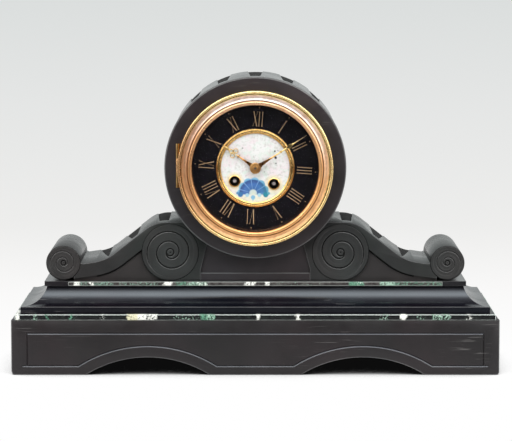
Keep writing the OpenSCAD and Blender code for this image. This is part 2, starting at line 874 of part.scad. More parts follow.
// Strokes of a numeral side by side: each is [offset, lean]
function strokes(hour) =
    let (i = 3.1, v = 5.2)
    hour == 1 ? [[0, 0]] : hour == 2 ? [[-i / 2, 0], [i / 2, 0]] : hour == 3 ? [[-i, 0], [0, 0], [i, 0]] :
    hour == 4 ? [[-1.5 * i, 0], [-i / 2, 0], [i / 2, 0], [1.5 * i, 0]] :
    hour == 5 ? [[-1.1, 1], [1.1, -1]] :
    hour == 6 ? [[-v / 2 - 0.5, 1], [-v / 2 + 1.7, -1], [v / 2 + 0.3, 0]] :
    hour == 7 ? [[-v / 2 - 1.8, 1], [-v / 2 + 0.4, -1], [v / 2 - 1, 0], [v / 2 - 1 + i, 0]] :
    hour == 8 ? [[-v / 2 - 3.2, 1], [-v / 2 - 1, -1], [0.3, 0], [0.3 + i, 0], [0.3 + 2 * i, 0]] :
    hour == 9 ? [[-v / 2, 0], [v / 2 - 0.6, 1.7], [v / 2 - 0.6, -1.7]] :
    hour == 10 ? [[0, 1.7], [0, -1.7]] :
    hour == 11 ? [[-v / 2 + 0.4, 1.7], [-v / 2 + 0.4, -1.7], [v / 2 + 0.2, 0]] :
    [[-v / 2 - 0.9, 1.7], [-v / 2 - 0.9, -1.7], [v / 2 - 1.4, 0], [v / 2 - 1.4 + i, 0]];

// The right-leaning strokes of V and X are hairlines, as an engraver cuts them
module numeral(hour) {
    for (s = strokes(hour)) {
        w = s[1] < 0 ? stroke_w * 0.35 : stroke_w;
        lean = s[1] * 1.5;
        polygon([
            [s[0] - lean - w / 2, numeral_r + numeral_h], [s[0] - lean + w / 2, numeral_r + numeral_h],
            [s[0] + lean + w / 2, numeral_r], [s[0] + lean - w / 2, numeral_r]]);
    }
}

module hour_numerals() {
    relief = 0.3;
    color(gilt) in_movement() for (hour = [1:12]) rotate([0, hour * 30, 0]) {
        plate_xz(chapter_y - relief, relief) numeral(hour);
        at([0, dot_ring_r]) rod(chapter_y - relief, chapter_y, 0.5);
    }
}

module dial_inner_ring() {
    color(gilt) in_movement() lathe() difference() {
        polygon([
            [enamel_r + seat_gap, chapter_y - 0.4], [enamel_r + 1.2, chapter_y - 1.3],
            [gilt_ring_r - 1.2, chapter_y - 1.3], [gilt_ring_r, chapter_y - 0.4],
            [gilt_ring_r, dial_plate_y], [enamel_r + seat_gap, dial_plate_y]]);
        translate([(enamel_r + gilt_ring_r) / 2, chapter_y - 1.6]) circle(r = 0.9, $fn = 48);
    }
}

module enamel_centre() {
    color(enamel) in_movement() difference() {
        lathe() polygon([
            [0, chapter_y - 0.5], [enamel_r * 0.6, chapter_y - 0.3], [enamel_r, chapter_y + 0.3],
            [enamel_r, dial_plate_y], [0, dial_plate_y]]);
        dial_holes(wind_r + 0.9 + seat_gap);
    }
}

module winding_collets() {
    color(gilt) in_movement() for (p = [going_at, strike_at]) at(p) lathe() polygon([
        [wind_r, chapter_y - 0.4], [wind_r + 0.4, chapter_y - 0.9], [wind_r + 0.9, chapter_y - 0.6],
        [wind_r + 0.9, dial_plate_y], [wind_r, dial_plate_y]]);
}

// Hands

cannon_r = 1.7;
hour_pipe_r = 2.6;
hour_hand_y = chapter_y - 2.6;
minute_hand_y = hour_hand_y - hand_t - 1;
collet_y = minute_hand_y - 0.9;
hand_boss_r = 4.4;
cannon_y = front_plate_y - 5.2;
hour_wheel_y = front_plate_y - 8.6;

module tapered_blade(from, to, w0, w1) {
    polygon([[-w0 / 2, from], [-w1 / 2, to], [w1 / 2, to], [w0 / 2, from]]);
}

module diamond(z, w, h) {
    polygon([[0, z - h / 2], [w / 2, z], [0, z + h / 2], [-w / 2, z]]);
}

module trefoil(z) {
    difference() {
        for (c = [[-2.1, 0], [2.1, 0], [0, 2.6]]) translate([c[0], z + c[1]]) circle(r = 2, $fn = 32);
        for (c = [[-2.1, 0], [2.1, 0], [0, 2.6]]) translate([c[0], z + c[1]]) circle(r = 1.15, $fn = 32);
    }
}

module hand(y, bore_r) {
    difference() {
        union() {
            rod(y, y + hand_t, hand_boss_r);
            plate_xz(y, hand_t) children();
        }
        rod(y - 1, y + hand_t + 1, bore_r);
    }
}

module minute_hand() {
    color(gilt) on_drum_axis() rotate([0, minute_at, 0]) hand(minute_hand_y, cannon_r) {
        tapered_blade(0, minute_len * 0.45, 4.4, 1);
        tapered_blade(minute_len * 0.4, minute_len, 1, 0.5);
        diamond(minute_len * 0.68, 3.2, 8);
        diamond(minute_len * 0.52, 2.2, 2.6);
    }
}

module hour_hand() {
    color(gilt) on_drum_axis() rotate([0, hour_at, 0]) hand(hour_hand_y, hour_pipe_r) {
        tapered_blade(0, hour_len * 0.64 + 0.5, 4.6, 1.2);
        diamond(hour_len * 0.5, 3.4, 2.6);
        trefoil(hour_len * 0.64);
        tapered_blade(hour_len * 0.64 + 4.1, hour_len, 1.4, 0.6);
        diamond(hour_len * 0.86, 2.8, 5);
    }
}

module hand_collet() {
    color(brass) on_drum_axis() difference() {
        lathe() polygon([
            [0, collet_y], [1.6, collet_y], [2.4, collet_y + 0.5], [2.4, minute_hand_y], [0, minute_hand_y]]);
        rod(collet_y - 1, minute_hand_y + 1, arbor_r);
    }
}

module cannon_pinion() {
    color(steel) in_movement() difference() {
        union() {
            pinion(cannon_y, cannon_y + 3, cannon_leaves, minute_m, towards(centre_at, minute_wheel_at));
            rod(minute_hand_y, cannon_y + fit, cannon_r);
        }
        rod(minute_hand_y - 1, front_plate_y, arbor_r);
    }
}

module minute_wheel() {
    color(brass) in_movement() at(minute_wheel_at) difference() {
        union() {
            plate_xz(cannon_y + 0.9, 1)
                spoked(wheel_points(minute_teeth, minute_m, towards(minute_wheel_at, centre_at)),
                    7, 2.6, 4, 1.3);
            pinion(hour_wheel_y - 0.8, cannon_y + 1, minute_leaves, hour_m,
                towards(minute_wheel_at, centre_at));
        }
        rod(hour_wheel_y - 2, front_plate_y, 1 + fit);
    }
}

module hour_wheel() {
    color(brass) in_movement() difference() {
        union() {
            plate_xz(hour_wheel_y, 1)
                spoked(wheel_points(hour_teeth, hour_m, towards(centre_at, minute_wheel_at)),
                    7.6, 3.6, 4, 1.3);
            rod(hour_hand_y, hour_wheel_y + fit, hour_pipe_r);
        }
        rod(hour_hand_y - 1, hour_wheel_y + 2, cannon_r + fit);
    }
}

// Plates of the movement

module pivot_holes(r) {
    for (p = [second_at, third_at, escape_at, count_at, pin_at, locking_at, fly_at])
        at(p) rod(front_plate_y - 1, back_face + 1, r);
}

barrel_pivot_r = 2.4;

module front_plate() {
    color(brass) in_movement() {
        difference() {
            rod(front_plate_y, inside_y, plate_r);
            pivot_holes(pivot_r + fit);
            at(anchor_at) rod(front_plate_y - 1, inside_y + 1, pivot_r + fit);
            rod(front_plate_y - 1, inside_y + 1, arbor_r + fit);
            for (p = [going_at, strike_at]) at(p)
                rod(front_plate_y - 1, inside_y + 1, square_w * 0.72 + fit);
            for (p = pillars_at) at(p) rod(front_plate_y - 1, inside_y + 1, 1.2);
        }
        at(minute_wheel_at) rod(hour_wheel_y - 1.1, front_plate_y + fit, 1);
        for (p = [going_at, strike_at]) at(p + [0, -click_drop])
            rod(front_plate_y - 3.6, front_plate_y + fit, 0.9);
    }
}

module back_plate() {
    color(brass) in_movement() {
        difference() {
            rod(back_plate_y, back_face, plate_r);
            pivot_holes(pivot_r + fit);
            rod(back_plate_y - 1, back_face + 1, pivot_r + fit);
            at(anchor_at) rod(back_plate_y - 1, back_face + 1, 2.4);
            for (p = [going_at, strike_at]) at(p)
                rod(back_plate_y - 1, back_face + 1, barrel_pivot_r + fit);
            at(count_at) rod(back_plate_y - 1, back_face + 1, arbor_r + fit);
            for (p = pillars_at) at(p) rod(back_plate_y - 1, back_face + 1, 1.2);
        }
        at(hammer_at) rod(back_face - fit, back_face + 7, 1.4);
    }
}

module plate_pillars() {
    color(brass) in_movement() for (p = pillars_at) at(p) {
        rod(inside_y, inside_back, pillar_r);
        rod(front_plate_y - 0.6, back_face + 0.6, 1.2 - fit);
    }
}

// Barrels and their arbors

module barrel(p, start) {
    wall = 1.2;
    at(p) difference() {
        union() {
            rod(barrel_y, great_y + fit, barrel_r);
            plate_xz(great_y, great_t) polygon(wheel_points(great_teeth, great_m, start));
        }
        rod(barrel_y + wall, great_y - wall, barrel_r - wall);
        rod(barrel_y - 1, great_y + great_t + 1, barrel_pivot_r + fit);
    }
}

module mainspring(p) {
    wall = 1.2;
    at(p) ring(barrel_y + wall + play, great_y - wall - play, barrel_r - wall - fit, barrel_r * 0.62);
}

module winding_arbor(p) {
    square_front = dial_plate_back + 0.4;
    at(p) {
        rod(inside_y + play, back_face - play, barrel_pivot_r);
        rod(barrel_y + 1.8, great_y - 1.8, barrel_r * 0.3);
        rod(front_plate_y - 0.6, inside_y + play + fit, square_w * 0.72);
        plate_xz(front_plate_y - 2.4, 1.8)
            polygon([for (i = [0:ratchet_teeth - 1], c = [[0, ratchet_r], [0.9, ratchet_r - 1]])
                polar((i + c[0]) * 360 / ratchet_teeth, c[1])]);
        translate([-square_w / 2, square_front, -square_w / 2])
            cube([square_w, front_plate_y - 2.4 - square_front + fit, square_w]);
    }
}

module click(p) {
    click_y = front_plate_y - 2.2;
    at(p + [0, -click_drop]) difference() {
        union() {
            rod(click_y, click_y + 1.4, 2);
            plate_xz(click_y, 1.4) polygon([[-1, 1.4], click_reach + [-0.9, 0], click_reach, [1.9, -0.3]]);
        }
        rod(click_y - 1, click_y + 3, 0.9 + fit);
    }
}

module going_barrel() {
    color(brass) in_movement() barrel(going_at, towards(going_at, second_at));
}

module strike_barrel() {
    color(brass) in_movement() barrel(strike_at, towards(strike_at, count_at));
}

module going_mainspring() {
    color(steel) in_movement() mainspring(going_at);
}

module strike_mainspring() {
    color(steel) in_movement() mainspring(strike_at);
}

module going_winding_arbor() {
    color(steel) in_movement() winding_arbor(going_at);
}

module strike_winding_arbor() {
    color(steel) in_movement() winding_arbor(strike_at);
}

module going_click() {
    color(steel) in_movement() click(going_at);
}

module strike_click() {
    color(steel) in_movement() click(strike_at);
}

// Going train

module intermediate_wheel() {
    color(brass) in_movement() at(second_at) {
        arbor(arbor_r);
        pinion(great_y - 1.6, great_y + great_t + 1.6, great_leaves, great_m, towards(second_at, going_at));
        train_wheel(second_y, second_teeth, second_m, towards(second_at, centre_at), 2.6, 4);
    }
}

module centre_wheel() {
    color(brass) in_movement() {
        rod(collet_y - 0.3, inside_back - play, arbor_r);
        rod(inside_back - play - fit, back_face - play, pivot_r);
        pinion(centre_pinion_y, centre_pinion_y + 4.6, second_leaves, second_m,
            towards(centre_at, second_at));
        train_wheel(centre_y, centre_teeth, centre_m, towards(centre_at, third_at), 2.2, 4);
    }
}

module third_wheel() {
    color(brass) in_movement() at(third_at) {
        arbor(fine_arbor_r);
        pinion(centre_y - 1.6, centre_y + wheel_t + 1.6, centre_leaves, centre_m,
            towards(third_at, centre_at));
        train_wheel(third_y, third_teeth, third_m, towards(third_at, escape_at), 2.2, 4);
    }
}

module escape_wheel() {
    color(brass) in_movement() at(escape_at) {
        arbor(fine_arbor_r);
        pinion(third_y - 1.6, third_y + wheel_t + 1.6, third_leaves, third_m, towards(escape_at, third_at));
        tooth = [[0, escape_r], [0.12, escape_r], [0.55, escape_r - 1.1]];
        plate_xz(escape_y, 0.8)
            spoked([for (i = [0:escape_teeth - 1], c = tooth) polar((i + c[0]) * 360 / escape_teeth, c[1])],
                escape_r - 2.2, 2, 4, 1);
    }
}

module pallet_anchor() {
    nib_r = escape_r + 1;
    nib = polar(45, nib_r) - [0, anchor_rise];
    color(steel) in_movement() at(anchor_at) {
        rod(inside_y + play, cheek_y - play, arbor_r);
        rod(front_plate_y + play, inside_y + play + fit, pivot_r);
        rod(cheek_y - play - fit, cheek_y + cheek_t - play, pivot_r);
        plate_xz(escape_y - 0.6, 2) {
            circle(r = 2, $fn = 32);
            for (s = [-1, 1]) scale([s, 1])
                polygon([[0, 1.8], nib + [0.4, 2.6], nib + [0.9, 0.2], nib, nib + [-0.9, 1.8], [0, -1.6]]);
        }
    }
}

// Strike train

module count_wheel() {
    color(brass) in_movement() at(count_at) {
        arbor(arbor_r);
        rod(inside_back - play - fit, back_face + 2.6, arbor_r);
        pinion(great_y - 1.6, great_y + great_t + 1.6, great_leaves, great_m, towards(count_at, strike_at));
        train_wheel(second_y, second_teeth, second_m, towards(count_at, pin_at), 2.6, 4);
        plate_xz(back_face + 0.6, 1.4) difference() {
            circle(r = count_r);
            for (blows = [1:11]) rotate(360 * (blows * (blows + 1) / 2 + blows) / 90)
                translate([count_r - 1.6, -0.45]) square([2, 0.9]);
        }
    }
}

module pin_wheel() {
    pins = 10;
    color(brass) in_movement() at(pin_at) {
        arbor(arbor_r);
        pinion(centre_pinion_y, centre_pinion_y + 4.6, second_leaves, second_m, towards(pin_at, count_at));
        train_wheel(pin_y, pin_teeth, pin_m, towards(pin_at, locking_at), 2.6, 4);
        for (k = [0:pins - 1]) at(polar(k * 360 / pins, pin_m * pin_teeth / 2 - 0.9))
            rod(pin_y + wheel_t - fit, pin_y + wheel_t + 2.2, 0.35);
    }
}

module locking_wheel() {
    color(brass) in_movement() at(locking_at) {
        arbor(fine_arbor_r);
        pinion(pin_y - 1.6, pin_y + wheel_t + 1.6, pin_leaves, pin_m, towards(locking_at, pin_at));
        train_wheel(locking_y, locking_teeth, locking_m, towards(locking_at, fly_at), 2.2, 4);
    }
}

module strike_fly() {
    wing_w = 10;
    wing_y = locking_y + 4;
    color(brass) in_movement() at(fly_at) {
        arbor(fine_arbor_r);
        pinion(locking_y - 1.6, locking_y + wheel_t + 1.6, locking_leaves, locking_m,
            towards(fly_at, locking_at));
        translate([-wing_w / 2, wing_y, -0.25]) cube([wing_w, 14, 0.5]);
    }
}

hammer_y = back_face + 3.4;
hammer_arm_t = 1.6;
hammer_head_r = 2.5;
bell_y = rod_y + bob_t / 2 + 5;
head_at = bell_at + polar(188, bell_r + hammer_head_r + play);

module strike_hammer() {
    arm = head_at - hammer_at;
    color(brass) in_movement() at(hammer_at) {
        plate_xz(hammer_y, hammer_arm_t) difference() {
            union() {
                circle(r = 3, $fn = 32);
                rotate(atan2(arm[1], arm[0]) - 90) tapered_blade(0, norm(arm), 2.6, 2);
                translate(arm) circle(r = 1.6, $fn = 32);
            }
            circle(r = 1.4 + fit, $fn = 32);
        }
        at(arm) {
            rod(hammer_y + hammer_arm_t - fit, bell_y, 1.1);
            rod(bell_y - fit, bell_y + 6, hammer_head_r);
        }
    }
}

module strike_bell() {
    wall = 1.4;
    crown = bell_y + bell_d;
    color(brass) in_movement() at(bell_at) {
        lathe() difference() {
            polygon([[0, bell_y + 3], [bell_r, bell_y], [bell_r, bell_y + 4],
                [bell_r * 0.9, bell_y + bell_d * 0.6], [bell_r * 0.55, crown - 1], [bell_r * 0.2, crown],
                [0, crown]]);
            polygon([[0, bell_y - 1], [bell_r - wall, bell_y - 1], [bell_r - wall, bell_y + 4],
                [bell_r * 0.9 - wall, bell_y + bell_d * 0.6 - wall * 0.4], [bell_r * 0.55, crown - 1 - wall],
                [2.1, crown - wall], [0, crown - wall]]);
            square([1.5 + fit, 200], center = true);
        }
        rod(back_face, crown - wall, 2);
        rod(crown - wall - fit, crown + 3, 1.5);
        ring(crown, crown + 2, 3, 1.5);
    }
}

// Suspension and pendulum

module suspension_cock() {
    color(brass) in_movement() at(anchor_at) {
        difference() {
            union() {
                translate([-4, cheek_y, -3.5]) cube([8, cheek_t, 13]);
                translate([-4, back_face, 4.5]) cube([8, cheek_y - back_face + fit, 5]);
                translate([-2.5, cheek_y + cheek_t - fit, 0.3])
                    cube([5, rod_y - cheek_y - cheek_t + 2.5, 5]);
            }
            rod(cheek_y - 1, cheek_y + cheek_t + 1, pivot_r + fit);
        }
        for (s = [-2, 2]) at([s * 1.1, 7]) rod(cheek_y - 1, cheek_y, 1.1);
    }
}

module pendulum() {
    a = anchor_world();
    color(steel) translate([a[0], rod_y, a[1]]) {
        translate([-0.15, -1.8, -spring_h]) cube([0.3, 3.6, spring_h + 0.1]);
        translate([-1.4, -2, -spring_h - 4]) cube([2.8, 4, 4.6]);
        translate([0, 0, -pendulum_len - bob_r - 4.2])
            cylinder(h = pendulum_len + bob_r + 0.4 - spring_h, r = rod_r);
    }
}

module pendulum_bob() {
    a = anchor_world();
    nut_h = 3;
    color(brass) {
        difference() {
            at([a[0], bob_z]) lathe() translate([0, rod_y]) polygon([
                [0, -bob_t / 2], [bob_r * 0.55, -bob_t / 2], [bob_r, -bob_t / 6],
                [bob_r, bob_t / 6], [bob_r * 0.55, bob_t / 2], [0, bob_t / 2]]);
            translate([a[0], rod_y, bob_foot - 1]) cylinder(h = 2 * bob_r + 2, r = rod_r + fit);
        }
        translate([a[0], rod_y, bob_foot - nut_h - fit]) difference() {
            cylinder(h = nut_h, r = 3.2);
            translate([0, 0, -1]) cylinder(h = nut_h + 2, r = rod_r + fit);
        }
    }
}

module crutch() {
    a = anchor_world();
    tine = rod_r + play;
    color(steel) translate([a[0], 0, a[1]]) {
        difference() {
            union() {
                rod(crutch_y, crutch_y + 2, 2.2);
                translate([-1.1, crutch_y + 0.2, -crutch_drop]) cube([2.2, 1.4, crutch_drop]);
            }
            rod(crutch_y - 1, crutch_y + 4, arbor_r);
        }
        difference() {
            translate([-tine - 1.2, crutch_y + 0.2, -crutch_drop - 1.5])
                cube([2 * tine + 2.4, rod_y + 2.4 - crutch_y, 2]);
            translate([-tine, rod_y - 1.6, -crutch_drop - 3]) cube([2 * tine, 8, 6]);
        }
    }
}

// Straps and rear door

module movement_straps() {
    color(brass) on_drum_axis() for (a = strap_angles) rotate([0, -a, 0]) {
        translate([strap_r - strap_t, dial_plate_back + 4, -strap_w / 2])
            cube([strap_t, strap_back - dial_plate_back - 4, strap_w]);
        translate([strap_r - 9, strap_back - strap_t, -strap_w / 2]) cube([9, strap_t, strap_w]);
        at([strap_screw_at, 0]) {
            rod(strap_back - fit, drum_back + door_frame_t + fit, strap_screw_r);
            rod(drum_back + door_frame_t, drum_back + door_frame_t + 1.2, strap_screw_r + 1);
        }
    }
}

// The frame holds the fixed knuckles and lets the strap screws through
module rear_door_frame() {
    step = door_hinge_len / 3;
    color(brass) difference() {
        union() {
            on_drum_axis() {
                ring(drum_back, drum_back + door_frame_t, frame_out_r, frame_in_r);
                ring(drum_back - 6, drum_back + fit, front_hole_r - seat_gap, front_hole_r - 1.6);
            }
            hinge_knuckles(door_hinge_x, door_hinge_y, drum_z, door_hinge_len, door_barrel_r, false);
        }
        hinge_bore(door_hinge_x, door_hinge_y, drum_z, door_hinge_len);
        translate([door_hinge_x - door_barrel_r - play, drum_back - 1, drum_z - step / 2])
            cube([2 * (door_barrel_r + play), 1 + door_frame_t + play, step + seat_gap]);
        on_drum_axis() for (a = strap_angles) rotate([0, -a, 0]) at([strap_screw_at, 0])
            rod(drum_back - 1, drum_back + door_frame_t + 1, strap_screw_r + fit);
    }
}

module rear_door() {
    color(brass) difference() {
        union() {
            on_drum_axis() {
                rod(door_y, door_y + door_t, door_r);
                at([7 - door_r, 0]) rod(door_y + door_t - fit, door_y + door_t + 6, 3);
            }
            hinge_knuckles(door_hinge_x, door_hinge_y, drum_z, door_hinge_len, door_barrel_r, true);
            hinge_leaf(door_r - 2, door_hinge_x, door_y, door_y + door_t, drum_z, door_hinge_len, 1);
        }
        hinge_bore(door_hinge_x, door_hinge_y, drum_z, door_hinge_len);
    }
}

plinth_front();
plinth_back();
plinth_sides();
lower_slab();
marble_strips();
hollow_moulding();
upper_slab();
body_front_panel();
body_back_panel();
scroll_left();
scroll_right();
drum_front_ring();
drum_shell();
drum_back_ring();
bezel_seat();
bezel_ring();
sight_ring();
bezel_glass();
hinge_pins();
dial_plate();
chapter_ring();
hour_numerals();
dial_inner_ring();
enamel_centre();
winding_collets();
minute_hand();
hour_hand();
hand_collet();
cannon_pinion();
minute_wheel();
hour_wheel();
front_plate();
back_plate();
plate_pillars();
going_barrel();
going_mainspring();
going_winding_arbor();
going_click();
strike_barrel();
strike_mainspring();
strike_winding_arbor();
strike_click();
intermediate_wheel();
centre_wheel();
third_wheel();
escape_wheel();
pallet_anchor();
count_wheel();
pin_wheel();
locking_wheel();
strike_fly();
strike_hammer();
strike_bell();
crutch();
suspension_cock();
pendulum();
pendulum_bob();
movement_straps();
rear_door_frame();
rear_door();
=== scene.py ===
# %% [markdown]
# # A slate mantel clock, dressed over its measured frame
# The frame is the clock as it was machined: every plate, wheel and moulding at its true
# size. This lesson gives that frame its looks. The slate gets soft arrises and cut
# grooves, the bezel its turned profile, the dial its numerals and enamel, and each piece
# a finish that is computed from where a point lies on the piece.

# %% Load the frame
import bpy
import bmesh
import json
import math
from mathutils import Matrix, Vector


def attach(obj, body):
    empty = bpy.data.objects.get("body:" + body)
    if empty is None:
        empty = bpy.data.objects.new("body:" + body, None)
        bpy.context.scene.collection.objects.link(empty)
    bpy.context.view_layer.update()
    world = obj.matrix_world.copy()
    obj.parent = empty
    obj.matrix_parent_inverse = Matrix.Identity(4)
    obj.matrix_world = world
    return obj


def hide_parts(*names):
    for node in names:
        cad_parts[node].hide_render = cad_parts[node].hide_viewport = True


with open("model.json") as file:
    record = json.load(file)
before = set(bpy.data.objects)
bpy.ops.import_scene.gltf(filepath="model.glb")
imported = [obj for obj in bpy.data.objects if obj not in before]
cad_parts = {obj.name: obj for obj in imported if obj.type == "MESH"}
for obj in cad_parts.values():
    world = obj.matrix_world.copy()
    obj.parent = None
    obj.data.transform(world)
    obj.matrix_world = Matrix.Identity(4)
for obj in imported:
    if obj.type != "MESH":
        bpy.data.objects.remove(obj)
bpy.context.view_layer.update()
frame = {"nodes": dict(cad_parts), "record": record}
mm = 0.001
axis_z = 182.0
body_of_node = {n: b for b, names in frame["record"]["behaviour"]["bodies"].items() for n in names}
slot_of_node = {s["node"]: s["material_slot"] for s in frame["record"]["subparts"]}

# %% [markdown]
# ## Camera
# The photograph was taken from far away with a long lens, a little above the dial and
# straight in front of it. Fitting the corners of the plinth, the volutes and the drum to
# the picture gave the distance, the height and a tilt of 6.2 degrees downwards.

# %% Camera
def link(name, data):
    """An object of that mesh, lamp or camera, put into the scene."""
    thing = bpy.data.objects.new(name, data)
    bpy.context.scene.collection.objects.link(thing)
    return thing


eye_place, eye_tilt = (0.0006, -2.3489, 0.3836), 6.176
eye = bpy.data.cameras.new("photo_camera")
eye.sensor_width, eye.lens = 36, 182.8
eye.clip_start, eye.clip_end = 0.1, 60
camera = link("photo_camera", eye)
camera.location = eye_place
camera.rotation_euler = (math.radians(90 - eye_tilt), 0, 0)
bpy.context.scene.camera = camera
bpy.context.scene.view_settings.view_transform = "Standard"
print("camera:", tuple(round(v, 3) for v in camera.location), "lens", eye.lens)

# %% [markdown]
# ## A short way to write node trees
# A material is a graph. This class writes one: `add` makes a node, sets it and connects or
# fills its inputs, and the other methods are the few nodes that come back all the time. So
# a finish reads as a list of steps from pattern to surface.

# %% Node helper
class Graph:
    """Writes a node tree. Each method adds a node and gives back its first output."""

    def __init__(self, tree):
        self.tree = tree
        tree.nodes.clear()

    def feed(self, place, value):
        """Links a socket to an input, or fills the input with a value."""
        if isinstance(value, bpy.types.NodeSocket):
            self.tree.links.new(value, place)
        else:
            place.default_value = value

    def add(self, kind, settings=None, **inputs):
        """A node of that kind; its inputs are given by name, or by place as _0 and _1."""
        made = self.tree.nodes.new(kind)
        for name, value in (settings or {}).items():
            setattr(made, name, value)
        for name, value in inputs.items():
            self.feed(made.inputs[int(name[1:]) if name[0] == "_" else name.replace("_", " ")], value)
        return made.outputs[0] if made.outputs else made

    def maths(self, operation, *values):
        places = {f"_{i}": value for i, value in enumerate(values)}
        return self.add("ShaderNodeMath", {"operation": operation}, **places)

    def times(self, a, b):
        return self.maths("MULTIPLY", a, b)

    def plus(self, a, b):
        return self.maths("ADD", a, b)

    def minus(self, a, b):
        return self.maths("SUBTRACT", a, b)

    def times_plus(self, a, b, c):
        return self.maths("MULTIPLY_ADD", a, b, c)

    def larger(self, a, b):
        return self.maths("MAXIMUM", a, b)

    def unsigned(self, a):
        return self.maths("ABSOLUTE", a)

    def apart(self, where):
        """The x, y and z of a vector."""
        return self.add("ShaderNodeSeparateXYZ", _0=where).node.outputs[:]

    def length(self, **parts):
        flat = self.add("ShaderNodeCombineXYZ", **parts)
        return self.add("ShaderNodeVectorMath", {"operation": "LENGTH"}, _0=flat).node.outputs["Value"]

    def fade(self, value, zero_at, one_at):
        """0 to 1 while a value goes from one level to the other."""
        return self.add("ShaderNodeMapRange", _0=value, _1=zero_at, _2=one_at)

    def ramp(self, value, *stops, smooth=False):
        """A colour ramp: stops are (place, colour or grey)."""
        made = self.add("ShaderNodeValToRGB", _0=value)
        band = made.node.color_ramp
        band.interpolation = "EASE" if smooth else "LINEAR"
        while len(band.elements) < len(stops):
            band.elements.new(0.5)
        for element, (place, tone) in zip(band.elements, stops):
            element.position = place
            element.color = (*(tone if isinstance(tone, tuple) else (tone,) * 3), 1)
        return made

    def mix(self, share, a, b, blend="MIX"):
        """Colour a to colour b by share."""
        made = self.tree.nodes.new("ShaderNodeMix")
        made.data_type, made.blend_type = "RGBA", blend
        for place, value in ((0, share), (6, a), (7, b)):
            self.feed(made.inputs[place], (*value, 1) if isinstance(value, tuple) else value)
        return made.outputs[2]

    def noise(self, where, scale, detail=3.0, roughness=0.5, distortion=0.0):
        return self.add("ShaderNodeTexNoise", Vector=where, Scale=scale, Detail=detail,
                        Roughness=roughness, Distortion=distortion)

    def patches(self, where, grain, low, high, floor=0.0, top=1.0):
        """A noise of that grain (scale, detail ...), spread from floor to top between two levels."""
        return self.ramp(self.noise(where, *grain), (low, floor), (high, top))

    def bump(self, height, distance, strength):
        return self.add("ShaderNodeBump", Height=height, Distance=distance, Strength=strength)

    def placed(self, location=(0, 0, 0), rotation=(0, 0, 0), scale=(1, 1, 1)):
        """The piece's own coordinates, moved, turned and stretched."""
        where = self.add("ShaderNodeTexCoord").node.outputs["Object"]
        return self.add("ShaderNodeMapping", _0=where, Location=location, Rotation=rotation, Scale=scale)

    def from_axis(self, x=0.0, z=axis_z):
        """Millimetres from an axis along Y, the drum's unless told otherwise, and the radius."""
        where = self.placed(location=(-x, 0, -z), scale=(1000, 1000, 1000))
        apart = self.apart(where)
        return where, apart, self.length(X=apart[0], Z=apart[2])


class Finish(Graph):
    """A material with its Principled shader and its output."""

    def __init__(self, name):
        self.material = bpy.data.materials.new(name)
        self.material.use_nodes = True
        super().__init__(self.material.node_tree)
        self.shader = self.add("ShaderNodeBsdfPrincipled").node
        self.add("ShaderNodeOutputMaterial", Surface=self.shader.outputs[0])

    def done(self, **inputs):
        """Feeds the shader's inputs and gives back the material."""
        for name, value in inputs.items():
            self.feed(self.shader.inputs[name.replace("_", " ")], value)
        return self.material


print("node helper:", sum(name[0] != "_" for name in vars(Graph)), "ways to add nodes")


# %% [markdown]
# ## Slate
# Black slate takes a dull wax polish: almost black, a little brown or violet where the
# light meets it, smoother on the tops than on the upright faces. Two noises give the
# cloudy tint and the smears of old polish, stretched ones the fine scratches, and a very
# fine one the grain of the stone. Colours are in thousandths, because slate is so dark.

# %% Slate finishes
def slate_finish(name, dark, warm, cool, gloss, smear, scratches, grain, level=0.5, tint=(1, 1, 1)):
    dark, warm, cool = (tuple(part / 1000 for part in colour) for colour in (dark, warm, cool))
    f = Finish("slate_" + name)
    where = f.placed()
    cloudy = f.mix(f.patches(f.placed(location=(3.1, 1.7, 0.4)), (9, 3), 0.40, 0.62), warm, cool)
    body = f.mix(f.patches(where, (22, 4, 0.6, 0.3), 0.35, 0.7, 0.15), dark, cloudy)
    one_way = f.placed(rotation=(0.2, 0.5, 0.1), scale=(40, 40, 900))
    other_way = f.placed(rotation=(0.1, -0.6, 0.4), scale=(30, 30, 1200))
    lines = f.larger(f.patches(one_way, (1.0, 2), 0.66, 0.70),
                     f.patches(other_way, (1.0, 2), 0.67, 0.71))
    seldom = f.patches(f.placed(location=(0.3, 0.9, 2.0)), (14, 2), 0.52, 0.66)
    lines = f.times(f.times(lines, seldom), scratches)
    polish = f.patches(f.placed(location=(0.2, 0.1, 5.0)), (30, 4, 0.65), 0.3, 0.72, gloss, gloss + smear)
    height = f.plus(f.times(f.noise(where, 2600, 2), grain), f.times(f.noise(where, 60, 2), 0.6))
    return f.done(Base_Color=f.mix(lines, body, (0.16, 0.155, 0.15)),
                  Roughness=f.plus(polish, f.times(lines, 0.25)), Normal=f.bump(height, 0.00006, 0.5),
                  IOR=1.52, Specular_IOR_Level=level, Specular_Tint=(*tint, 1))


sky_tint = (0.93, 1.0, 0.97)
slate = slate_finish("wax_polish", (13, 10.5, 12), (31, 22, 24), (23, 21, 24), 0.34, 0.16, 0.5, 1.0)
slate_gloss = slate_finish("moulding_polish", (2, 2, 4), (8, 5, 8), (4, 5, 8), 0.16, 0.10, 0.35, 0.5,
                           0.56, (0.84, 0.93, 1.0))
slate_matt = slate_finish("matt_field", (5, 5, 5), (12, 11, 11), (10, 11, 10), 0.76, 0.16, 0.2, 3.0, 0.28)
# Pale finish for the rounded arrises: wear of the wax and the black, and a painted highlight along each
# edge.
slate_arris_wear_and_highlight = slate_finish("worn_arris", (35, 35, 36), (110, 105, 104), (75, 80, 82), 0.30, 0.2, 0.6, 2.0)
slate_back = slate_finish("sawn_back", (20, 20, 21), (40, 38, 37), (30, 32, 33), 0.55, 0.2, 0.9, 3.0)
slate_top = slate_finish("polished_top", (10, 9.5, 11), (22, 18, 21), (17, 20, 21), 0.13, 0.10, 0.5, 0.5,
                         0.46, sky_tint)
slate_crest = slate_finish("bracket_top", (10, 10, 10), (20, 18, 19), (15, 20, 18), 0.20, 0.12, 0.5, 0.5,
                           0.28, sky_tint)
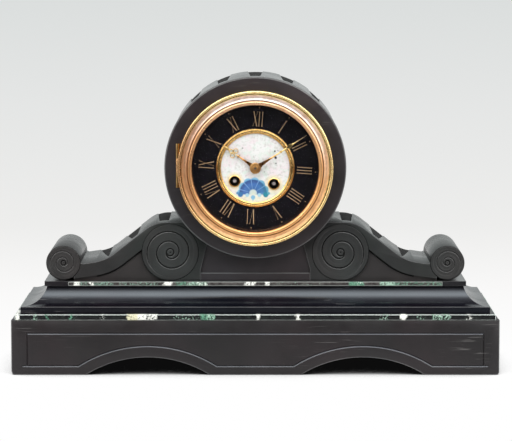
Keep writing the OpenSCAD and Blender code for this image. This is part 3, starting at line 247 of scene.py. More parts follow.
slate_side = slate_finish("side", (10, 9.5, 10), (26, 22, 22), (19, 22, 21), 0.26, 0.16, 0.6, 1.0)
slate_scroll = slate_finish("bracket_face", (10, 11, 11), (22, 19, 19), (16, 21, 19), 0.36, 0.14, 0.35, 1.0)
slate_field = slate_finish("sunk_field", (12, 10, 10), (32, 24, 23), (22, 21, 20), 0.40, 0.16, 0.3, 1.2)
slate_volute = slate_finish("carved_volute", (12, 12, 12), (31, 26, 25), (23, 27, 26), 0.36, 0.14, 0.3, 0.8)
# Near black for the deep cuts of the volutes: grime and painted shade.
slate_cut_grime_and_shade = slate_finish("grime_in_cuts", (2, 2, 2), (6, 5, 5), (4, 4.5, 4), 0.7, 0.2, 0.0, 2.0, 0.15)
# Paler finish for the upward slope of the cut lines: a painted highlight.
slate_groove_painted_highlight = slate_finish("cut_line", (40, 44, 52), (85, 88, 98), (70, 76, 90), 0.35, 0.2, 0.0, 2.0)
slate_plinth = slate_finish("plinth_face", (3, 2, 2.4), (10.5, 5.5, 7), (6, 5, 6), 0.40, 0.16, 0.35, 1.0)
print("slate finishes:", sum(m.name.startswith("slate") for m in bpy.data.materials))

# %% [markdown]
# ## Marble
# Two thin strips of dark marble run along the slabs. The stone is nearly black, and where
# a vein crosses it shows white, cream or green. Each strip gets a list of its veins: the
# middle along the strip, half its length, the colour and how dense it is. A noise frays
# their edges. Round the corner the count along the strip runs on with the depth. Along the
# front arris of a strip's top a pale band is painted in as its highlight.

# %% Marble finishes
def marble_finish(name, veins, ground, clouds, gloss=0.14, highlight_floor=0.0):
    f = Finish("marble_" + name)
    where = f.placed(scale=(1000, 1000, 1000))
    x, y, z = f.apart(where)
    behind = f.larger(f.plus(y, 45.0), 0.0)
    along = f.times(x, f.times_plus(behind, 0.01, 1.0))
    along = f.plus(along, f.times_plus(f.noise(where, 0.35, 3), 7.0, -3.5))
    mottle = f.noise(where, 0.55, 4, 0.7)
    body = f.mix(f.patches(where, (0.25, 4, 0.65), 0.40, 0.62), ground, clouds)
    # Top finish: a pale band along the front arris is a painted highlight; at the far ends, the back and
    # above 70 mm it stays near black.
    if highlight_floor:
        outward = f.larger(f.minus(f.unsigned(x), 211.3), f.minus(f.unsigned(y), 71.2))
        edge = f.larger(f.fade(outward, 0.5, 1.1), f.maths("GREATER_THAN", z, 70.0))
        painted_light_share = f.patches(where, (0.12, 4, 0.7), 0.34, 0.66, highlight_floor, 0.40)
        body = f.mix(edge, (0.008, 0.010, 0.010), f.mix(painted_light_share, clouds, (0.74, 0.80, 0.76)))
    for middle, half, colour, density in veins:
        reach = f.fade(f.unsigned(f.minus(along, middle)), half + 1.0, half - 0.6)
        level = 0.62 - 0.24 * density
        share = f.times(reach, f.ramp(mottle, (level, 0.0), (level + 0.06, 1.0)))
        body = f.mix(share, body, colour)
    return f.done(Base_Color=body, Roughness=f.ramp(mottle, (0.3, gloss), (0.7, gloss + 0.12)),
                  Normal=f.bump(mottle, 0.0003, 0.2))


white, cream, moss = (0.78, 0.80, 0.74), (0.66, 0.64, 0.44), (0.17, 0.28, 0.22)
green, leaf = (0.10, 0.26, 0.17), (0.30, 0.46, 0.36)
strip_veins = (
    (-107, 6.5, cream, 0.9), (-100, 3.5, white, 0.9), (-91.5, 4, white, 0.75), (-60, 11, leaf, 0.25),
    (-42.5, 6.5, green, 0.8), (-40, 3.5, leaf, 0.6), (2.2, 1.3, white, 1), (37.4, 1.2, white, 1),
    (114, 3.5, leaf, 0.4), (131, 2.2, white, 1.3), (146, 3, leaf, 0.3), (164, 7.5, leaf, 0.55),
    (189, 2, white, 0.4), (-211, 1.2, white, 1.2), (-195, 1, leaf, 0.6), (-184, 1, green, 0.6),
    (-163, 2, green, 0.5), (-136, 1.5, white, 0.4), (262, 7, leaf, 0.6), (318, 3, white, 0.7),
    (372, 12, green, 0.6), (-250, 4, white, 0.6), (-296, 10, leaf, 0.5), (-380, 6, green, 0.8))
inlay_veins = (
    (-160, 2, white, 1.2), (-150, 9, moss, 0.45), (-146, 1.6, white, 0.9), (-134, 5.5, moss, 0.6),
    (-103, 17, moss, 0.4), (-78.5, 3, white, 1), (-66, 5, green, 0.6), (-51.5, 8.5, leaf, 0.7),
    (-47, 4.5, white, 0.4), (-7, 2.2, white, 0.9), (-1.5, 1.6, white, 0.8), (10.3, 1.6, white, 0.9),
    (40, 24, leaf, 0.1), (90, 6, green, 1), (92, 4, white, 0.35), (118, 6, leaf, 0.8),
    (146, 22, green, 0.5), (146, 22, moss, 0.3))
marble = marble_finish("strip", strip_veins, (0.004, 0.004, 0.005), (0.012, 0.016, 0.014))
marble_top_highlight = marble_finish("bruised_arris", strip_veins, (0.16, 0.18, 0.18), (0.42, 0.48, 0.46), 0.3, 0.9)
inlay = marble_finish("inlay", inlay_veins, (0.030, 0.027, 0.026), (0.085, 0.080, 0.076), 0.2)
inlay_arris = marble_finish("inlay_arris", inlay_veins, (0.06, 0.06, 0.05), (0.18, 0.18, 0.16), 0.3, 0.35)
print("marble veins:", len(strip_veins), "in the strip,", len(inlay_veins), "in the inlay")

# %% [markdown]
# ## Soft arrises
# No stone edge is perfectly sharp after a century of dusting, and a sharp edge shows no
# highlight. Each slab is copied from the frame, its loose triangles are joined into flat
# faces again, and its corners get a small round. The round carries its own, paler finish:
# partly because the wax and the black wear away there first, partly as a painted highlight.

# %% Copying, rounding and carving
def frame_copy(node):
    """A frame node's shape with its triangles joined up."""
    form = bmesh.new()
    form.from_mesh(frame["nodes"][node].data)
    bmesh.ops.remove_doubles(form, verts=form.verts, dist=2e-6)
    bmesh.ops.dissolve_limit(form, angle_limit=math.radians(0.5), verts=form.verts, edges=form.edges)
    return form


def soften(form, width, angle=40, finish=1, where=lambda middle: True):
    """Rounds the edges that turn by more than angle degrees and whose middle is where it says."""
    edges = [e for e in form.edges if len(e.link_faces) == 2
             and e.calc_face_angle(0) > math.radians(angle)
             and where((e.verts[0].co + e.verts[1].co) / 2 / mm)]
    bmesh.ops.bevel(form, geom=edges, offset=width * mm, offset_type="OFFSET", segments=2,
                    profile=0.5, affect="EDGES", clamp_overlap=True, material=finish)


def carve(form, tool):
    """The first shape with the second cut out of it."""
    pair = []
    for part in (form, tool):
        mesh = bpy.data.meshes.new("scratch")
        part.to_mesh(mesh)
        part.free()
        pair.append(link("scratch", mesh))
    knife = pair[0].modifiers.new("carve", "BOOLEAN")
    knife.operation, knife.solver, knife.object = "DIFFERENCE", "EXACT", pair[1]
    result = bmesh.new()
    result.from_object(pair[0], bpy.context.evaluated_depsgraph_get())
    for thing in pair:
        mesh = thing.data
        bpy.data.objects.remove(thing)
        bpy.data.meshes.remove(mesh)
    return result


def add_to(form, extra):
    """Puts a second closed shape, a form or a mesh, into the first one."""
    if isinstance(extra, bmesh.types.BMesh):
        mesh = bpy.data.meshes.new("scratch")
        extra.to_mesh(mesh)
        extra.free()
        extra = mesh
    form.from_mesh(extra)
    bpy.data.meshes.remove(extra)
    return form


def make_piece(name, form, node, *finishes, crisp=30, even=False, replace=True):
    """A piece that rides with a frame node, and stands for it unless told otherwise."""
    mesh = form
    if isinstance(form, bmesh.types.BMesh):
        mesh = bpy.data.meshes.new(name)
        form.to_mesh(mesh)
        form.free()
    for finish in finishes:
        mesh.materials.append(finish)
    mesh.shade_smooth()
    mitres = [edge.index for edge in mesh.edges if edge.use_edge_sharp]
    mesh.set_sharp_from_angle(angle=math.radians(crisp))
    for index in mitres:
        mesh.edges[index].use_edge_sharp = True
    thing = link(name, mesh)
    if even:
        thing.modifiers.new("even_faces", "WEIGHTED_NORMAL").keep_sharp = True
    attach(thing, body_of_node[node])
    if replace:
        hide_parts(node)
    print(name, "has", len(mesh.polygons), "faces")


trial = frame_copy("plinth_back")
print("plinth_back as copied:", len(trial.faces), "flat faces")
trial.free()


# %% [markdown]
# ## Shapes from loops
# Most parts of a clock are loops of corners joined by strips of faces: a slab is a loop
# moved back, a turning a loop spun round an axis, a graver's cut a triangle drawn along
# a path. One function makes the strips and the others only place the corners.

# %% Slabs, turnings and cutters
def point(form, x, y, z):
    """A corner at a place in millimetres."""
    return form.verts.new((x * mm, y * mm, z * mm))


def on_circle(cx, cz, r, degrees):
    """A point on a circle, at an angle from +X towards +Z."""
    a = math.radians(degrees)
    return cx + r * math.cos(a), cz + r * math.sin(a)


def arc(cx, cz, r, start, end, steps):
    return [on_circle(cx, cz, r, start + (end - start) * k / steps) for k in range(steps + 1)]


def loft(form, loops, ring=False, finish=0):
    """Faces between neighbouring loops of corners, with caps unless the last joins the first."""
    for a, b in zip(loops, loops[1:] + loops[:1] if ring else loops[1:]):
        for k, n in zip(range(len(a)), [*range(1, len(a)), 0]):
            corners = dict.fromkeys((a[k], a[n], b[n], b[k]))
            if len(corners) > 2:
                form.faces.new(corners).material_index = finish
    for end in () if ring else (loops[0], loops[-1]):
        if len(set(end)) > 2:
            form.faces.new(end).material_index = finish
    bmesh.ops.recalc_face_normals(form, faces=form.faces)
    return form


def prism(outline, front, back, finish=0):
    """A slab with a flat outline of (x, z) points."""
    form = bmesh.new()
    return loft(form, [[point(form, x, y, z) for x, z in outline] for y in (front, back)], finish=finish)


def turned(profile, cx=0.0, cz=axis_z, steps=192, finish=0):
    """A turning about an axis along Y: the profile is a closed loop of (radius, y) points."""
    form = bmesh.new()
    loops = [[point(form, x, y, z) for x, z in arc(cx, cz, r, 90, -270, steps)[:-1]] if r > 1e-6
             else [point(form, cx, y, cz)] * steps for r, y in profile]
    return loft(form, loops, ring=True, finish=finish)


def wedge(path, half, depth, face, ring=True):
    """A V-shaped cutter along a path of (x, z) points; it stands proud of the face it cuts."""
    form = bmesh.new()
    wide = half * (depth + 1) / depth
    loops = []
    for k, (x, z) in enumerate(path):
        sides = []
        for a, b in ((k - 1, k), (k, (k + 1) % len(path))):
            if ring or 0 <= a < b:
                sides.append(Vector((path[b][0] - path[a][0], path[b][1] - path[a][1])).normalized())
        across = sum((Vector((-s.y, s.x)) for s in sides), Vector((0, 0))).normalized()
        across *= wide / max(0.35, across.dot(Vector((-sides[0].y, sides[0].x))))
        loops.append([point(form, x + across.x, face - 1, z + across.y),
                      point(form, x - across.x, face - 1, z - across.y), point(form, x, face + depth, z)])
    return loft(form, loops, ring, finish=2)


trial = prism([(0, 0), (4, 0), (0, 3)], 0, 2)
print("a trial slab of 12 cubic millimetres measures", round(trial.calc_volume() / mm ** 3, 3))
trial.free()


# %% [markdown]
# ## Plinth
# The front slab is one flat stone with two low arches sawn out of its foot. A line is
# incised round it with a V-shaped graver: along the top, down both ends and along the foot,
# rising over each arch. The lower slope of the V faces the sky, so it shows as a pale
# line with a dark one over it, and that slope also carries a paler finish as a painted
# highlight. One closed wedge, mitred at its corners, cuts it all.

# %% Plinth front
arch_x, arch_r, arch_z = 95.3, 103.53, -87.93
plinth_front_y, half_plinth = -75, 216
foot_angle = math.degrees(math.asin(-arch_z / arch_r))
outline = [(-213.8, 0)]
for s in (-1, 1):
    outline += arc(s * arch_x, arch_z, arch_r, 180 - foot_angle, foot_angle, 72)
outline += [(213.8, 0), (215.3, 0.7), (half_plinth, 2.4), (half_plinth, 48.5), (-half_plinth, 48.5),
            (-half_plinth, 3.2), (-215.1, 0.9)]
slab = prism(outline, plinth_front_y, -63)
soften(slab, 0.8, where=lambda p: p.y < -74 and p.z < 48)
soften(slab, 0.4, finish=0, where=lambda p: p.y < -74 and p.z > 48)
line_r, low_line, high_line, line_end = arch_r + 10.2, 7.9, 36.9, 202
rise = math.degrees(math.asin((low_line - arch_z) / line_r))
loop = [(-line_end, low_line), (-line_end, high_line), (line_end, high_line), (line_end, low_line)]
for s in (1, -1):
    loop += arc(s * arch_x, arch_z, line_r, rise, 180 - rise, 60)
slab = carve(slab, wedge(loop, 0.95, 0.85, plinth_front_y))
for s in (-1, 1):
    overrun = [(s * 201.5, low_line), (s * 206, low_line)]
    slab = carve(slab, wedge(overrun, 0.8, 0.7, plinth_front_y, ring=False))
# Only the upward slope of each cut keeps the paler finish, as a painted highlight; the rest goes back to
# the plinth slate.
for face in slab.faces:
    if face.material_index == 2 and face.normal.z < 0.3:
        face.material_index = 0
make_piece("plinth_front_slab", slab, "plinth_front", slate_plinth, slate_arris_wear_and_highlight, slate_groove_painted_highlight, crisp=25)

# %% [markdown]
# The other slabs are plain boards. They keep the frame's shape and only lose their sharp
# edges, which a loop over a small table does. The marble strips get a second finish on top.

# %% Other slabs of the plinth and the body
for node, width, finish in (("plinth_back", 0.8, slate_back), ("plinth_sides", 0.6, slate_side),
                            ("lower_slab", 0.5, slate_top), ("upper_slab", 0.5, slate_top),
                            ("body_front_panel", 0.4, slate), ("body_back_panel", 0.6, slate_back)):
    form = frame_copy(node)
    soften(form, width)
    # The upward faces of the panel's sill take the pale arris finish: a painted highlight along its top.
    for face in form.faces:
        if node == "body_front_panel" and face.normal.z > 0.2 and face.calc_center_median().z < 0.1:
            face.material_index = 1
    make_piece(node + "_stone", form, node, finish, slate_arris_wear_and_highlight, crisp=50, even=True)
form = frame_copy("marble_strips")
soften(form, 0.4, angle=60)
for face in form.faces:
    height = face.calc_center_median().z
    # Top faces of the lower strip take the finish with the painted highlight.
    if face.normal.z > 0.9 and 0.052 < height < 0.06:
        face.material_index = 1
    if height > 0.07:
        face.material_index += 2
make_piece("marble_strips_stone", form, "marble_strips", marble, marble_top_highlight, inlay, inlay_arris,
           crisp=50, even=True)

# %% [markdown]
# ## Hollow moulding
# The cavetto carries the one broad highlight of the case, so its curve must be even from
# end to end. It is one section run along the front and both sides and mitred at the
# corners. The mitres are kept sharp by hand, because near the foot both runs face upwards
# and an angle test would blend them.

# %% Mitred run
section = [(0.35, 53.5), (0, 53.85), (0, 59.3), (0.3, 59.62)]
section += arc(2.394, 79.558, 20, -95.6, -11.8, 28) + [(22, 75.6)]
form = bmesh.new()
posts = []
for side, corner in ((-1, False), (-1, True), (1, True), (1, False)):
    posts.append([point(form, side * (208 - inwards), inwards - 67 if corner else 67, z)
                  for inwards, z in section])
for a, b in zip(posts, posts[1:]):
    for k in range(len(section) - 1):
        # The round on the fillet and the top arris of the hollow take the pale arris finish, which paints
        # part of their highlight.
        fillet = k in (2, len(section) - 2)
        form.faces.new((a[k], b[k], b[k + 1], a[k + 1])).material_index = int(fillet)
form.faces.new([post[-1] for post in posts])
form.faces.new([post[0] for post in reversed(posts)])
form.faces.new(posts[0] + posts[-1][::-1])
bmesh.ops.recalc_face_normals(form, faces=form.faces)
for edge in form.edges:
    if any(edge.verts[0] in post and edge.verts[1] in post for post in posts[1:3]):
        edge.smooth = False
make_piece("hollow_moulding_run", form, "hollow_moulding", slate_gloss, slate_arris_wear_and_highlight, crisp=30)

# %% [markdown]
# ## Scroll brackets
# Each bracket is one block. Seen from the front it runs from the drum over a large volute,
# down a slope and a hollow, to a small roll at the end of the slab. The space under the
# band is cut back by two millimetres. On top lie three matt fields that widen towards the
# back, a little lower than the polish round them. The curves are the frame's own.

# %% Outline of a bracket
volute, roll, crest = (76.0, 105.6), (171.5, 96.0), (79.5, 102.7)
crest_r, slope_run, hollow_r, roll_r, volute_r, drum_r = 29.9, 35, 40, 15.4, 25.6, 80.8
slope, foot_slope = math.radians(38), math.radians(8)
foot = (crest[0] + (crest_r + hollow_r) * math.sin(slope) + slope_run * math.cos(slope),
        crest[1] + (crest_r + hollow_r) * math.cos(slope) - slope_run * math.sin(slope))


def ends(drop):
    """Ends of the crest, the slope and the hollow on the top line, lowered by drop."""
    near, far = crest_r - drop, hollow_r + drop
    a = (crest[0] + near * math.sin(slope), crest[1] + near * math.cos(slope))
    b = (a[0] + slope_run * math.cos(slope), a[1] - slope_run * math.sin(slope))
    return a, b, (foot[0] - far * math.sin(foot_slope), foot[1] - far * math.cos(foot_slope))


def top_line(x):
    """Height of the bracket's top at x."""
    a, b, c = ends(0)
    if x < crest[0]:
        return crest[1] + crest_r
    if x < a[0]:
        return crest[1] + math.sqrt(crest_r ** 2 - (x - crest[0]) ** 2)
    if x < b[0]:
        return a[1] - (x - a[0]) * math.tan(slope)
    if x < c[0]:
        return foot[1] - math.sqrt(hollow_r ** 2 - (x - foot[0]) ** 2)
    return c[1] - (x - c[0]) * math.tan(foot_slope)


def bracket_outline():
    """Along the foot, round the roll, up the top line and down the seat of the drum."""
    high, low = 132.6 - axis_z, 113.6 - axis_z
    rim = {t / 10: on_circle(*roll, roll_r, t / 10) for t in range(1800, 900, -1)}
    touch = next(t for t, (x, z) in rim.items() if z > top_line(x))
    a, _, c = ends(0)
    points = [(49, 80), (162.26, 80)] + arc(*roll, roll_r, 233.1, 360 + touch, 96)
    x = points[-1][0]
    points += [(x - (x - c[0]) * k / 6, top_line(x - (x - c[0]) * k / 6)) for k in range(1, 6)]
    points += arc(*foot, hollow_r, 262, 232, 24) + [a] + arc(*crest, crest_r, 52, 90, 24)[1:]
    points += arc(0, axis_z, drum_r, math.degrees(math.atan2(high, math.sqrt(drum_r ** 2 - high ** 2))),
                  math.degrees(math.atan2(low, 43.05)), 16)
    return points + [(49, 89.8)]


def recess_outline():
    """The field under the band, right of the volute."""
    a, _, c = ends(12)
    rim = {t / 10: on_circle(*volute, volute_r, t / 10) for t in range(900)}
    start = next(t for t, (x, z) in rim.items()
                 if x > volute[0] and z > a[1] - (x - a[0]) * math.tan(slope))
    points = arc(*volute, volute_r, start, -90, 40)
    end = 162.26
    points += [(points[-1][0], 78), (end, 78), (end, c[1] - (end - c[0]) * math.tan(foot_slope))]
    return points + arc(*foot, hollow_r + 12, 262, 232, 24)


def top_field(x, front_width, back_width, front):
    """A cutter for a matt field: its near edge is narrow, and it widens towards the back."""
    form = bmesh.new()
    past_back = front_width + (back_width - front_width) * 1.13
    loops = []
    for k in range(17):
        loop = []
        for y, width in ((front, front_width), (60, past_back)):
            at = x + width * k / 16
            loop += [point(form, at, y, top_line(at) + height) for height in (-0.8, 6)]
        loops.append(loop[:2] + loop[:1:-1])
    return loft(form, loops, finish=2)


print("bracket outline:", len(bracket_outline()), "points, recess:", len(recess_outline()))

# %% [markdown]
# The volute itself is a carved spiral. Between its turns the stone swells a little, and
# the groove is a V with soft shoulders. That is a rule of radius and angle, so the disc is
# a fine polar grid whose depth is computed point by point, set into a round pocket.

# %% Carved spiral
def within(value):
    return max(0.0, min(1.0, value))


def carved_disc(centre, radius, first, pitch, eye, face, back, groove, half, step, spokes):
    """A disc with a spiral groove that starts at the top at radius first and turns inwards."""
    form = bmesh.new()
    rows = int(radius / step)
    loops = [[point(form, centre[0], face + 0.5, centre[1])] * spokes]
    for i in range(1, rows + 1):
        r = radius * i / rows
        loop = []
        for k, (x, z) in enumerate(arc(*centre, r, 90, 450, spokes)[:-1]):
            along = (first - r) / pitch - k / spokes
            near = along - round(along)
            start = within((along + k / spokes + 0.5) / 0.3) if round(along) < 0 else 1.0
            cut = max(0.0, 1 - abs(near) * pitch / half) ** 1.3
            depth = groove * cut * start * within((r - eye) / 1.5)
            swell = 0.30 * (2 * near) ** 2 * within((r - eye) / 2) * start
            dish = 0.7 * math.exp(-((r - eye * 0.95) / 0.8) ** 2)
            dish += 0.5 * math.exp(-(r / (eye * 0.45)) ** 2)
            rim = 0.9 * max(0.0, 1 - (radius - r) / 0.8) ** 2
            loop.append(point(form, x, face + depth + swell + dish + rim, z))
        loops.append(loop)
    loops.append([form.verts.new((v.co.x, back * mm, v.co.z)) for v in loops[-1]])
    loft(form, loops)
    for cell in form.faces:
        # Cells deep in the groove take the near-black finish: grime and painted shade.
        grime_and_shade_cell = 0.42 < cell.calc_center_median().y / mm - face < 1.5
        cell.material_index = 6 if grime_and_shade_cell else 3
    return form


# %% [markdown]
# Now the block is cut like the real one: first the sunk field, then the line under the
# band, the three matt fields and a round pocket for each disc. The left bracket is the right
# one mirrored, with its faces turned round again so that they look outwards.

# %% Both brackets
bracket_front, recess_front, pocket = -44.2, -42.2, -41.9
block = prism(bracket_outline(), bracket_front, 49.8)
soften(block, 0.45, angle=50, where=lambda p: p.y < -44 or p.y > 49)
for face in block.faces:
    if face.normal.z > 0.25 and face.material_index == 0:
        face.material_index = 4
block = carve(block, prism(recess_outline(), -50, recess_front, finish=5))
first, second = ends(12.9)[:2]
band_line = [(99.0, first[1] - (99.0 - first[0]) * math.tan(slope)), second]
band_line += arc(*foot, hollow_r + 12.9, 234, 261, 16)
block = carve(block, wedge(band_line, 0.75, 0.9, recess_front, ring=False))
for field in ((77.5, 8.5, 12.5, -28.2), (105.5, 5.3, 13.4, -30.2), (131.5, 1.0, 11.8, -30.2)):
    block = carve(block, top_field(*field))
for centre, radius in ((volute, 25.55), (roll, 15.35)):
    block = carve(block, prism(arc(*centre, radius, 0, 360, 96)[:-1], -50, pocket))
behind = pocket - 0.05
add_to(block, carved_disc(volute, 25.5, 18.6, 8.7, 3.4, bracket_front, behind, 0.9, 1.15, 0.32, 168))
add_to(block, carved_disc(roll, 15.3, 10.6, 5.6, 2.2, bracket_front, behind, 0.6, 0.8, 0.3, 120))
other = block.copy()
bmesh.ops.scale(other, vec=(-1, 1, 1), verts=other.verts)
bmesh.ops.reverse_faces(other, faces=other.faces)
for side, form in (("right", block), ("left", other)):
    make_piece("scroll_bracket_" + side, form, "scroll_" + side, slate_scroll, slate_arris_wear_and_highlight, slate_matt,
               slate_volute, slate_crest, slate_field, slate_cut_grime_and_shade, crisp=32)

# %% [markdown]
# ## Drum
# The drum is turned stone: a flat face ring with a small round on its rim, a shell and a
# back ring. Nine matt fields fan out over its top. The frame carries their shallow cuts,
# so the copy only has to tell cut ground from polish by its distance from the axis.

# %% Drum
def off_axis(place):
    """Metres from the drum's axis."""
    return math.hypot(place.x, place.z - axis_z * mm)


profile = [(62, -54.2), (62.3, -54.2)] + arc(79.2, -52.7, 1.5, -90, 0, 6) + [(80.7, -40.2), (62, -40.2)]
form = turned(profile, steps=256)
for face in form.faces:
    if face.normal.y > -0.98 and off_axis(face.calc_center_median()) > 0.0785:
        face.material_index = 1 if face.normal.y < -0.1 else 2
make_piece("drum_face_ring", form, "drum_front_ring", slate, slate_arris_wear_and_highlight, slate_top, crisp=30)
for node in ("drum_shell", "drum_back_ring"):
    form = frame_copy(node)
    for face in form.faces:
        radii = [off_axis(v.co) for v in face.verts]
        if max(radii) < 0.0800 and min(radii) > 0.0796:
            face.material_index = 1
        elif min(radii) > 0.0805 and abs(face.normal.y) < 0.5:
            face.material_index = 2
    make_piece(node + "_stone", form, node, slate_back, slate_matt, slate_top, crisp=25)

# %% [markdown]
# ## Metals
# The gilding is worn lacquer over brass. Each metal is one colour with a deeper one in
# its clouds, and where the piece was turned, fine rings run round its axis. The rings are
# a noise that only depends on the distance from that axis.

# %% Metal finishes
def metal_finish(name, colour, deep, rough, smear=0.12, rings=0.0, grain=0.3, axis=(0.0, axis_z),
                 core=None, metallic=1.0):
    """Clouded metal with rings about an axis; core is the radius of a steel arbor on it."""
    f = Finish(name)
    where, apart, radius = f.from_axis(*axis)
    cloud = f.noise(where, 0.22, 4, 0.6)
    body = f.mix(f.ramp(cloud, (0.35, 0.0), (0.68, 1.0)), colour, deep)
    specks = f.patches(where, (2.1, 3, 0.6), 0.66, 0.74, 0.0, 0.6)
    body = f.mix(specks, body, tuple(0.35 * part for part in deep))
    if core:
        body = f.mix(f.fade(radius, core + 0.2, core), body, (0.40, 0.40, 0.42))
    turned_line = f.noise(f.add("ShaderNodeCombineXYZ", X=radius, Y=apart[1]), 9, 2)
    height = f.plus(f.times(turned_line, rings), f.times(f.noise(where, 3.5, 3), grain))
    return f.done(Base_Color=body, Metallic=metallic, Normal=f.bump(height, 0.00012, 0.35),
                  Roughness=f.ramp(cloud, (0.3, rough), (0.75, rough + smear)))


gilt = metal_finish("gilt_lacquered", (0.90, 0.62, 0.24), (0.66, 0.40, 0.13), 0.20, rings=1.0)
copper = metal_finish("copper_gilt", (0.86, 0.46, 0.24), (0.60, 0.27, 0.12), 0.20, rings=1.0)
brass = metal_finish("brass_sheet", (0.72, 0.53, 0.25), (0.60, 0.42, 0.18), 0.30, rings=0.3)
door_brass = metal_finish("brass_turned_door", (0.72, 0.52, 0.23), (0.66, 0.46, 0.19), 0.26, smear=0.16,
                          rings=2.4, grain=0.08)
frame_brass = metal_finish("brass_frame_toned", (0.60, 0.41, 0.17), (0.52, 0.34, 0.13), 0.30, smear=0.16,
                           rings=2.0)
blued = metal_finish("steel_blued", (0.06, 0.08, 0.20), (0.03, 0.04, 0.10), 0.25, grain=0.2)
steel = metal_finish("steel_polished", (0.50, 0.50, 0.52), (0.36, 0.36, 0.38), 0.24, grain=0.2)
bronze = metal_finish("hub_bronze", (0.62, 0.34, 0.11), (0.26, 0.11, 0.04), 0.30, grain=0.8, metallic=0.6)
numeral_gilt = metal_finish("numeral_gilt", (0.68, 0.47, 0.27), (0.48, 0.30, 0.16), 0.46, grain=0.2,
                            metallic=0.4)
# The seat's gilt is clouded with dark brown: painted shade in the gap between bezel and drum.
seat_gilt_shaded = metal_finish("gilt_seat_worn", (0.74, 0.48, 0.18), (0.30, 0.16, 0.06), 0.28, rings=0.8)
for metal in (gilt, copper, brass, door_brass, frame_brass, blued, steel, bronze, numeral_gilt, seat_gilt_shaded):
    print(metal.name, "has", len(metal.node_tree.nodes), "nodes")

# %% [markdown]
# Two metals follow a distance. On the winding arbors a pale painted glint sits at the middle
# of their squares, and the rest is painted near black for oil and shade. The gilt of the
# hands is rubbed down to copper towards the middle of the dial.

# %% Arbor and hand finish
key_holes = ((16.50, 167.81), (-18.31, 170.25))
f = Finish("arbor_end_steel")
where = f.placed(scale=(1000, 0, 1000))
near = []
for x, z in key_holes:
    apart = f.add("ShaderNodeVectorMath", {"operation": "DISTANCE"}, _0=where, _1=(x, 0, z))
    near.append(apart.node.outputs["Value"])
off = f.plus(f.maths("MINIMUM", *near), f.noise(f.placed(), 900, 3))
# Pale near each arbor's axis as a painted glint, near black beyond for oil and painted shade.
body = f.ramp(f.times(off, 0.25), (0.42, (0.72, 0.70, 0.74)), (0.58, (0.03, 0.03, 0.03)))
arbor_steel_glint_and_shade = f.done(Base_Color=body, Metallic=0.4,
                     Roughness=f.patches(f.placed(), (1500, 2), 0.3, 0.7, 0.30, 0.48))

f = Finish("hand_gilt")
where, apart, radius = f.from_axis()
body = f.ramp(f.maths("DIVIDE", radius, 54.0), (0.10, (0.42, 0.17, 0.05)), (0.28, (0.60, 0.30, 0.10)),
              (0.45, (0.78, 0.54, 0.20)), (0.75, (0.86, 0.62, 0.26)), (0.95, (0.84, 0.68, 0.44)))
body = f.mix(f.patches(where, (0.9, 3), 0.45, 0.7, 0.0, 0.5), body, (0.30, 0.15, 0.05))
hand_gilt = f.done(Base_Color=body, Metallic=1.0, Normal=f.bump(f.noise(where, 3.0, 3), 0.0001, 0.3),
                   Roughness=f.patches(where, (0.5, 3), 0.3, 0.75, 0.22, 0.40))
print("finishes by distance:", arbor_steel_glint_and_shade.name, "and", hand_gilt.name)

# %% [markdown]
# The bezel itself shows three colours of lacquer, from yellow outside through a rosy cove
# to a coppery inner bead, with a dark ring in each of the two quirks. They follow the
# radius, so a ramp over the radius paints them. A paler ramp on the upper half is a
# painted reflection, and the darkening towards the left is painted shade.

# %% Bezel finish
f = Finish("bezel_lacquer")
where, apart, radius = f.from_axis()
span = f.times(f.minus(radius, 56.0), 1 / 14.0)
# Share of the paler upper ramp, growing towards the top: a painted reflection.
top_reflection_share = f.times_plus(f.maths("DIVIDE", apart[2], radius), 0.5, 0.5)
painted = []
for bead_tone, rose, yellow in (((0.93, 0.50, 0.20), (0.93, 0.58, 0.30), (0.94, 0.68, 0.30)),
                                ((0.95, 0.58, 0.34), (0.99, 0.88, 0.82), (1.0, 0.80, 0.36))):
    painted.append(f.ramp(span, (0.0, bead_tone), (0.27, bead_tone), (0.29, (0.12, 0.04, 0.01)),
                          (0.325, (0.16, 0.06, 0.02)), (0.345, rose), (0.63, rose), (0.65, yellow),
                          (0.69, yellow), (0.705, (0.20, 0.15, 0.04)), (0.735, (0.22, 0.16, 0.04)),
                          (0.755, yellow), (1.0, yellow)))
body = f.mix(f.ramp(top_reflection_share, (0.40, 0.0), (0.92, 1.0)), *painted)
cloud = f.noise(where, 0.16, 4, 0.62)
body = f.mix(f.ramp(cloud, (0.42, 0.0), (0.72, 0.55)), body, (0.52, 0.26, 0.10))
# Darker towards the left: painted shade.
painted_light_share = f.ramp(f.times_plus(apart[0], 1 / 140.0, 0.5), (0.03, 0.80), (0.26, 0.0))
body = f.mix(painted_light_share, body, (0.42, 0.19, 0.08))
coarse = f.placed(location=(0, 0, -axis_z * 0.6), scale=(600, 600, 600))
body = f.mix(f.patches(coarse, (1.0, 5, 0.7, 0.8), 0.60, 0.70, 0.0, 0.35), body, (1.0, 0.86, 0.72))
satin = f.ramp(span, (0.27, 0.26), (0.36, 0.46), (0.62, 0.46), (0.66, 0.20), (1.0, 0.22))
rings = f.noise(f.add("ShaderNodeCombineXYZ", X=radius, Y=apart[1]), 5, 3, 0.7)
bezel_lacquer = f.done(Base_Color=body, Metallic=0.74, Normal=f.bump(rings, 0.00016, 0.5),
                       Roughness=f.plus(satin, f.ramp(cloud, (0.35, 0.0), (0.75, 0.12))))
print("bezel finish:", bezel_lacquer.name)

# %% [markdown]
# ## Turned bezel
# A bezel is spun: one profile all the way round. That is a rule for Geometry Nodes. The
# profile is a loop of edges, the tree sweeps it round a circle whose radius and number of
# stations are named inputs, and the evaluated result becomes a plain mesh.

